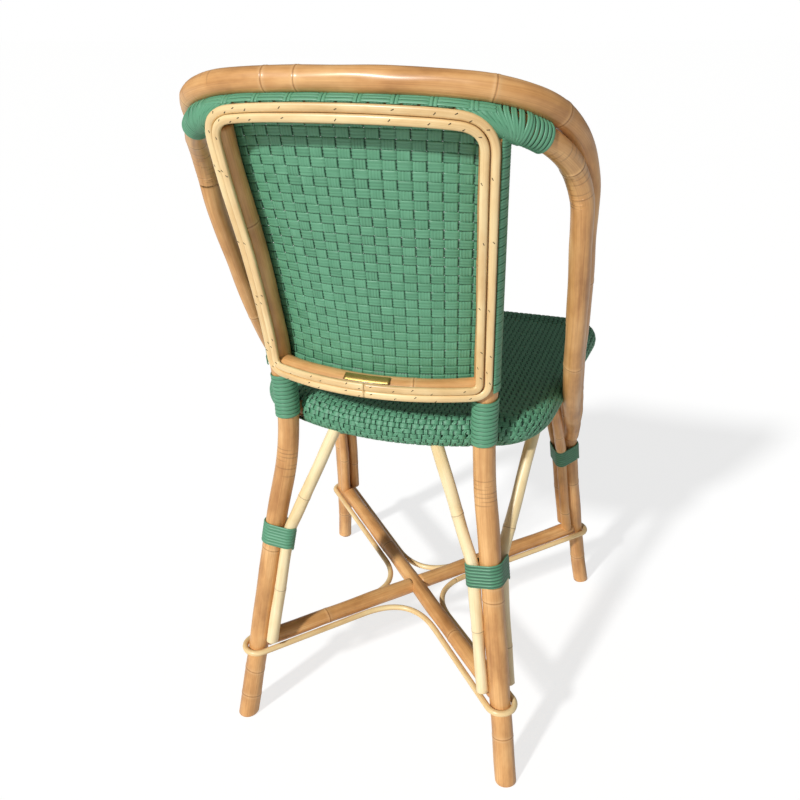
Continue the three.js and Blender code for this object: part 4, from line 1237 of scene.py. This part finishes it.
def strip_section(width, low, thickness):
    """A flat face at a height of low, and the crown over it."""
    sideways = np.cos(np.linspace(0, math.pi, CROWN_STEPS)) / 2
    top = [(width * share, low + crown(share, thickness)) for share in sideways]
    return [(-width / 2, low), (width / 2, low), *top]


def trims():
    nails = Batch()
    steps = np.linspace(-0.5, 0.5, NAIL_STEPS)[:, None]
    for name, side in (("trim_strip_outer", 1), ("trim_strip_inner", -1)):
        points, ups = trim_path(side * (TRIM_W + 2 * GAP) / 2)
        section = strip_section(TRIM_W, GAP, TRIM_T)
        strip(Batch(), points, ups, section, offset=side * TRIM_GRAIN).make(name, "pale_strip")
        forward, across, up = directions(points, ups)
        for share, sideways in nail_shares:
            i = round(share * (len(points) - 1))
            height = crown(sideways, TRIM_T) + GAP + NAIL_OUT - NAIL_W / 2
            middle = points[i] + across[i] * sideways * TRIM_W + up[i] * height
            turn = NAIL_TURN + random.uniform(-NAIL_TURN_SPREAD, NAIL_TURN_SPREAD)
            along = forward[i] * math.cos(turn) + across[i] * math.sin(turn)
            cord(nails, middle + along * steps * NAIL_L, NAIL_W, NAIL_W, up[i], sides=NAIL_SIDES)
    nails.make("trim_nails")


# Strands

def ribbed(width, thickness, ribs, steps_per_rib=RIB_STEPS):
    """A flat strand group's section: one low rib for each strand, on both faces."""
    count = ribs * steps_per_rib
    x = np.linspace(-width / 2, width / 2, count + 1)
    phase = np.linspace(0, ribs * math.pi, count + 1)
    height = thickness / 2 + RIB_H * (np.abs(np.sin(phase)) - MIDDLE)
    return np.vstack([np.column_stack([x, -height]), np.column_stack([x, height])[::-1]])


def crossing_wave(position, parity):
    """Over and under: +1 over one neighbour, -1 under the next, with short slopes."""
    return np.tanh(CROSSING_SLOPE * np.cos(math.pi * position + math.pi * parity))


def shaded_dips(wave):
    """A strand's tone: painted shade where it goes under, its own slight tint where it is on top."""
    own = random.uniform(0, STRAND_TINT)
    # painted shade where the strand dips under its neighbours
    return np.where(wave < DIP_SHADE_FROM, np.clip((wave - DIP_SHADE_FROM) / (1 + DIP_SHADE_FROM), -1, 0), own)


def shaded_grooves(wave):
    """A strand's tone: painted shadow where it dips on one side of a neighbour, weaker painted shade on the
    other.
    """
    own = random.uniform(0, STRAND_TINT)
    # painted shadow, stronger on the side where the strand falls
    depth = hump(wave, GROOVE_REACH) * np.where(np.gradient(wave) > 0, 1, GROOVE_WEAK_SHARE)
    return own * (1 - depth) - depth * GROOVE_SHADE


# Woven back

# How far a strand goes on round a pole, past its middle, to reach the pale strips
REAR_EDGE = math.acos((TRIM_W + 2 * GAP) / (rear_r + GAP))
sheet_depth = rear_r + 3 * GAP + BACK_SHEET_T / 2


def back_cover(u, t):
    """A point of the woven cover and the way out of it: column share u and row t."""
    u, t = np.broadcast_arrays(np.asarray(u, float), np.asarray(t, float))
    share = np.clip(t / BACK_ROWS, 0, 1)
    x = np.clip(u, -1, 1) * post_spot(mix(BACK_RAIL_Z, post_top[2], share))[0]
    z = mix(BACK_RAIL_Z, hoop_middle(x)[1], share)
    away = -back_normal(x, z)
    near_top = np.clip(1 - (1 - share) / BACK_EDGE_SHARE, 0, 1) ** 2 * (rear_r - hoop_r + GAP)
    near_low = np.clip(1 - share / BACK_EDGE_SHARE, 0, 1) ** 2 * (2 * (rear_r - rail_r) - GAP)
    middle = np.stack([x, back_depth(x, z), z], -1)
    return middle + away * (sheet_depth - near_top - near_low)[..., None], away


def fold(centre, away, outward, radius, far):
    """A strand's way round a pole, from the sheet's side of it, and the way out there."""
    turn = np.linspace(0, far, FOLD_STEPS + 1)[1:, None]
    out = away * np.cos(turn) + outward * np.sin(turn)
    return centre + radius * out, out


def back_strand(batch, sheet, folds, tone, width, ribs):
    """A strand through the sheet, folded round a pole at each end."""
    (first, last), plain = folds, np.zeros(FOLD_STEPS)
    points, ups = (np.vstack([start[::-1], middle, end]) for start, middle, end in zip(first, sheet, last))
    tone = np.concatenate([plain, tone, plain])
    strip(batch, points, ups, ribbed(width, BACK_STRAND_T, ribs), tone,
          random.uniform(0, GRAIN_SPREAD), RIB_VALLEY_SHADE)


def back_weft(batch, row):
    """One row: around one post, through the sheet and around the other post."""
    columns = np.linspace(0, BACK_COLUMNS, BACK_COLUMNS * COLUMN_STEPS + 1)
    u = columns / BACK_COLUMNS * 2 - 1
    point, away = back_cover(u, row + MIDDLE)
    wave = crossing_wave(columns - MIDDLE, row)
    flat = np.abs(u) > 1 - FLAT_COLUMN_SHARE / BACK_COLUMNS
    point = point + away * np.where(flat, 0, wave * BACK_WAVE)[:, None]
    folds = []
    for index, side in ((0, -1), (-1, 1)):
        centre = point[index] - away[index] * sheet_depth
        post = post_lines[side]
        outward = unit(np.cross(post.along(post.where(2, min(centre[2], post_top[2]))), away[index]))
        outward *= np.sign(outward[0] * side)
        lean = math.atan2(abs(away[index][0]), -away[index][1]) * (1 - TRIM_LEAN)
        folds.append(fold(centre, away[index], outward, rear_r + 2 * GAP + BACK_STRAND_T,
                          math.pi / 2 + REAR_EDGE + lean))
    back_strand(batch, (point, away), folds, np.where(flat, 0, shaded_grooves(wave)), BACK_WEFT_W,
                BACK_WEFT_RIBS)


def back_warp(batch, column):
    """One column: around the bottom rail, up the sheet and around the top rail."""
    rows = np.linspace(0, BACK_ROWS, BACK_ROWS * ROW_STEPS + 1)
    point, away = back_cover((column + MIDDLE) / BACK_COLUMNS * 2 - 1, rows)
    wave = -crossing_wave(rows - MIDDLE, column)
    point = point + away * (wave * BACK_WAVE)[:, None]
    low, high = point[0][0], point[-1][0]
    folds = []
    for index, centre, radius, up in ((0, at(low, rail_y(low), BACK_RAIL_Z), rail_r, -UP),
                                      (-1, at(high, *hoop_middle(high)), hoop_r, UP)):
        folds.append(fold(centre, away[index], square_to(up, away[index]),
                          radius + 2 * GAP + BACK_STRAND_T, math.pi / 2 + REAR_EDGE))
    back_strand(batch, (point, away), folds, shaded_grooves(wave), BACK_WARP_W, BACK_WARP_RIBS)


def rail_cover(x, turn, lift):
    """A point of the cover around the top rail, and the way out; turn 0 is the sheet's side."""
    _, away = back_cover(x / post_top[0], BACK_ROWS)
    turn = np.broadcast_to(turn, x.shape)[:, None]
    out = away * np.cos(turn) + square_to(UP, away) * np.sin(turn)
    reach = hoop_r + 2 * GAP + BACK_STRAND_T + np.reshape(lift, (-1, 1))
    return np.column_stack([x, *hoop_middle(x)]) + out * reach, out


def top_strands(batch):
    """Long strands along the top rail that dip under short pairs of strands."""
    x = np.linspace(-POST_TOP_X, POST_TOP_X, TOP_STEPS)
    wave = 1 - 2 * hump((x + POST_TOP_X) / TOP_PAIR_PITCH % 1 - MIDDLE, TOP_DIP_REACH)
    section = ribbed(TOP_WEFT_W, BACK_STRAND_T, 1, ROUND_RIB_STEPS)
    for share in top_turn_shares:
        points, ups = rail_cover(x, math.pi / 2 + REAR_EDGE * share, TOP_LIFT + TOP_WAVE * wave)
        strip(batch, points, ups, section, shaded_dips(wave), random.uniform(0, GRAIN_SPREAD))
    turn = np.linspace(math.pi / 2, math.pi / 2 + REAR_EDGE * TOP_PAIR_REACH, PAIR_STEPS)
    section = ribbed(TOP_PAIR_STRAND_W, BACK_STRAND_T, 1, ROUND_RIB_STEPS)
    for i in range(round(2 * POST_TOP_X / TOP_PAIR_PITCH)):
        middle = -POST_TOP_X + (i + MIDDLE) * TOP_PAIR_PITCH
        for side in (-1, 1):
            x = np.full(PAIR_STEPS, middle + side * TOP_PAIR_SPACING / 2)
            points, ups = rail_cover(x, turn, TOP_PAIR_LIFT)
            strip(batch, points, ups, section, STRAND_TINT, random.uniform(0, GRAIN_SPREAD))


def back_weave():
    batch = Batch()
    for row in range(BACK_ROWS):
        back_weft(batch, row)
    for column in range(BACK_COLUMNS):
        back_warp(batch, column)
    top_strands(batch)
    batch.make("back_weave", "green_weave")


# Woven seat

outline = seat_line.at(np.linspace(0, seat_line.length, OUTLINE_STEPS)[:-1])[:, :2]
outline_along = unit(np.roll(outline, -1, 0) - np.roll(outline, 1, 0))
outline_out = np.column_stack([-outline_along[:, 1], outline_along[:, 0]])
ROLL_R = rim_r - SEAT_STRAND_T - SEAT_WAVE
ROLL_END = math.pi - math.asin((SEAT_STRIP_W / 2 + 2 * GAP) / ROLL_R)


def seat_cover(x, y):
    """The woven seat over plan coordinates that run on round the rim, and how far round."""
    plan = np.column_stack([x, y])
    nearest = np.argmin(((plan[:, None] - outline) ** 2).sum(-1), 1)
    edge, out = outline[nearest], outline_out[nearest]
    beyond = np.sum((plan - edge) * out, 1)
    turn = np.clip(beyond / ROLL_R, 0, math.pi)
    sunken = np.clip(-beyond / SEAT_POLE_D, 0, 1)
    flat_z = SEAT_Z + ROLL_R - SEAT_SHEET_DIP * sunken**2 * (3 - 2 * sunken)
    way_out = np.column_stack([out * np.sin(turn)[:, None], np.cos(turn)])
    inside = beyond[:, None] < 0
    point = np.where(inside, np.column_stack([plan, flat_z]), level(edge, SEAT_Z) + ROLL_R * way_out)
    return point, np.where(inside, UP, way_out), turn


def seat_bow(a, b):
    """Rows run straight at the front and follow the bowed rail at the rear."""
    share = np.clip((b - SEAT_FRONT_Y) / (seat_rear_y - SEAT_FRONT_Y), 0, 1) ** SEAT_BOW_POWER
    return b + SEAT_REAR_BOW * share * (1 - (a / REAR_SEAT[0]) ** 2)


def clear_runs(points, turn):
    """Splits a strand into its stretches that end at the strip below and at the legs."""
    keep = turn < ROLL_END
    for lines, radius, top in ((rear_lines, rear_r + WINDING_T, math.inf), (front_lines, front_r, SEAT_Z)):
        for line in lines:
            spot = np.column_stack(follow(points[:, 2], line.points, 2)[:2])
            far = np.linalg.norm(points[:, :2] - spot, axis=1)
            keep &= (far > radius + LEG_CLEAR) | (points[:, 2] > top)
    edges = np.flatnonzero(np.diff(np.concatenate([[0], keep.astype(int), [0]])))
    return [(a, b) for a, b in zip(edges[::2], edges[1::2]) if b - a > LEAST_RUN]


def seat_strand(batch, a, b, wave, section):
    point, up, turn = seat_cover(a, seat_bow(a, b) + CENTRE_Y)
    point = point + up * (wave * SEAT_WAVE)[:, None]
    tone, offset = shaded_dips(wave), random.uniform(0, GRAIN_SPREAD)
    for start, end in clear_runs(point, turn):
        strip(batch, point[start:end], up[start:end], section, tone[start:end], offset, RIB_VALLEY_SHADE)


def seat_weave():
    batch = Batch()
    reach = ROLL_R * math.pi
    columns = math.ceil((SEAT_FRONT_HALF + reach) / SEAT_WARP_PITCH)
    rows = math.ceil((seat_rear_y + SEAT_REAR_BOW + reach - SEAT_FRONT_Y + reach) / SEAT_ROW_PITCH)
    first = SEAT_FRONT_Y - SEAT_FRONT_BOW - reach
    section = ribbed(SEAT_WEFT_W, SEAT_STRAND_T, SEAT_WEFT_RIBS)
    steps = np.arange(-columns, columns, 1 / CROSSING_STEPS)
    for row in range(rows):
        b = np.full_like(steps, first + row * SEAT_ROW_PITCH)
        seat_strand(batch, steps * SEAT_WARP_PITCH, b, crossing_wave(steps, row), section)
    section = ribbed(SEAT_WARP_W, SEAT_STRAND_T, SEAT_WARP_RIBS)
    steps = np.arange(0, rows, 1 / CROSSING_STEPS)
    for column in range(-columns, columns + 1):
        a = np.full_like(steps, column * SEAT_WARP_PITCH)
        seat_strand(batch, a, first + steps * SEAT_ROW_PITCH, -crossing_wave(steps, column), section)
    batch.make("seat_weave", "green_weave")


def seat_strips():
    """Two strips under the rim, in front of the front legs and behind them."""
    leg_y = front_lines[0].spot(2, SEAT_Z - rim_r)[1]
    reach = front_r + GAP + STRIP_END_GAP
    section = [(-x, -z) for x, z in strip_section(SEAT_STRIP_W, seat_r + GAP, SEAT_WRAP_T)]
    front = np.linspace(*(seat_mark(leg_y - reach, side) for _, side in SIDES), STRIP_FRONT_STEPS)
    low, high = (seat_mark(leg_y + reach, side) for _, side in SIDES)
    rear = np.concatenate([np.linspace(high, seat_line.length, STRIP_REAR_STEPS)[:-1],
                           np.linspace(0, low, STRIP_REAR_STEPS)])
    for name, marks in (("front", front), ("rear", rear)):
        body = strip(Batch(), seat_line.at(marks), UP, section, offset=SEAT_STRIP_GRAIN)
        body.make(f"seat_strip_{name}", "pale_strip")


# Loop strip around the legs and along the stretchers

def loop_legs():
    """For each leg in turn: its place, the way out to it, the way across and the turn's radius."""
    clear = GAP + LOOP_STRIP_D / 2
    out = []
    for line, radius, z in ((rear_lines[0], rear_r, LOOP_Z), (front_lines[0], front_r, LOOP_Z + FRONT_RISE),
                            (front_lines[1], front_r, LOOP_Z + FRONT_RISE), (rear_lines[1], rear_r, LOOP_Z)):
        spot = line.spot(2, z)[:2]
        along = unit(spot - crossing[:2])
        out.append((spot, along, np.array((along[1], -along[0])), radius + clear))
    return out


def loop_line():
    offset = stretcher_r + GAP + LOOP_STRIP_D / 2
    centre = crossing[:2]
    legs_round = loop_legs()
    out = []
    for (spot, along, turn, reach), (_, next_along, next_turn, _) in zip(
            legs_round, legs_round[1:] + legs_round[:1]):
        start = math.atan2(-turn[1], -turn[0])
        angles = np.linspace(start, start - math.pi, LOOP_STEPS)
        out.append(spot + reach * np.column_stack([np.cos(angles), np.sin(angles)]))
        slope = math.tan(math.acos(np.clip(np.dot(along, next_along), -1, 1)) / 2)
        inner = (LOBE_RADIUS + offset) / slope
        leave = centre + along * inner + turn * offset
        arrive = centre + next_along * inner - next_turn * offset
        corner = centre + along * (offset / slope) + turn * offset
        out.append(bend(leave, corner, arrive))
    flat = np.vstack([*out, out[0][:1]])
    front, rear = whole_line.points[0][1], whole_line.points[-1][1]
    return Line(np.column_stack([flat, LOOP_Z + FRONT_RISE * (rear - flat[:, 1]) / (rear - front)]))


def loop_strips():
    line = loop_line()
    start = LOOP_JOINT_SHARE * line.length
    half = line.length / 2
    for name, low in (("front", start), ("rear", start + half)):
        marks = np.arange(low, low + half - TRIM_JOINT, STATION / 2) % line.length
        body = cord(Batch(), line.at(marks), LOOP_STRIP_D, LOOP_STRIP_D, UP)
        body.make(f"loop_strip_{name}", "pale_strip")


def plate():
    """A thin blank plate on the bottom rail, with bevels along its outer face."""
    lean = at(0, math.cos(PLATE_TURN), math.sin(PLATE_TURN))
    low, bevel, half = rail_r + GAP, PLATE_T / 3, PLATE_W / 2
    high = low + PLATE_T
    section = [(-half, low), (half, low), (half, high - bevel), (half - bevel, high),
               (-half + bevel, high), (-half, high - bevel)]
    x = np.linspace(-PLATE_L / 2, PLATE_L / 2, PLATE_STEPS)
    strip(Batch(), rail_points(x), lean, section).make("blank_plate", "plate")


# Floor, light and camera

def show_camera(tree, share, usual, seen, output):
    """Shows the camera a share of another shader in place of the usual one."""
    path = tree.nodes.new("ShaderNodeLightPath")
    factor = tree.nodes.new("ShaderNodeMath")
    factor.operation = "MULTIPLY"
    factor.inputs[1].default_value = share
    pick = tree.nodes.new("ShaderNodeMixShader")
    for source, target in (
            (path.outputs["Is Camera Ray"], factor.inputs[0]), (factor.outputs[0], pick.inputs[0]),
            (usual.outputs[0], pick.inputs[1]), (seen.outputs[0], pick.inputs[2]),
            (pick.outputs[0], tree.nodes[output].inputs["Surface"])):
        tree.links.new(source, target)


def floor():
    """A pale floor that keeps the chair's shadow and runs into the white background."""
    mesh = bpy.data.meshes.new("floor")
    r = FLOOR_REACH
    mesh.from_pydata([(-r, -r, 0), (r, -r, 0), (r, r, 0), (-r, r, 0)], [], [(0, 1, 2, 3)])
    n = Nodes("floor")
    n.set(Base_Color=linear(FLOOR_COLOUR), Roughness=FLOOR_ROUGH)
    glow = n.new("Emission", (("Strength", FLOOR_GLOW),))
    show_camera(n.tree, FLOOR_GLOW_SHARE, n.shader, glow, "Material Output")
    mesh.materials.append(n.material)
    piece = placed("floor", mesh)


def sun():
    light = bpy.data.lights.new("sun", "SUN")
    light.angle = SUN_WIDTH
    light.energy = SUN_STRENGTH
    placed("sun", light).rotation_euler = (-Vector(SUN_FROM)).to_track_quat("-Z", "Y").to_euler()


def world():
    """White all round: faint as a light, full where the camera sees it."""
    sky = bpy.data.worlds.new("studio")
    bpy.context.scene.world = sky
    sky.use_nodes = True
    back = sky.node_tree.nodes["Background"]
    seen = sky.node_tree.nodes.new("ShaderNodeBackground")
    for shader, strength in ((back, AMBIENT), (seen, 1)):
        shader.inputs["Color"].default_value = (1, 1, 1, 1)
        shader.inputs["Strength"].default_value = strength
    show_camera(sky.node_tree, 1, back, seen, "World Output")


def camera():
    data = bpy.data.cameras.new("camera")
    data.sensor_width = SENSOR_W * MILLIMETRES
    data.lens = LENS * MILLIMETRES
    data.shift_y = CAMERA_SHIFT_Y
    aim = Euler((math.pi / 2 + CAMERA_PITCH, 0, math.pi + CAMERA_YAW)).to_matrix().to_4x4()
    piece = placed("camera", data)
    piece.matrix_world = Matrix.Translation(CAMERA_AT) @ aim @ Matrix.Rotation(CAMERA_ROLL, 4, "Z")
    bpy.context.scene.camera = piece


camera()
world()
floor()
sun()
bpy.context.scene.view_settings.view_transform = "Standard"

hoops()
legs("rear", rear_lines, rear_r, hoop_r, REAR_LEG_GRAIN)
legs("front", front_lines, front_r, seat_r, FRONT_LEG_GRAIN)
back_rail()
trims()
back_weave()
post_windings()
hoop_bindings()
corner_wraps()
seat_frame()
seat_weave()
seat_strips()
braces()
leg_bindings()
stretchers()
loop_strips()
plate()
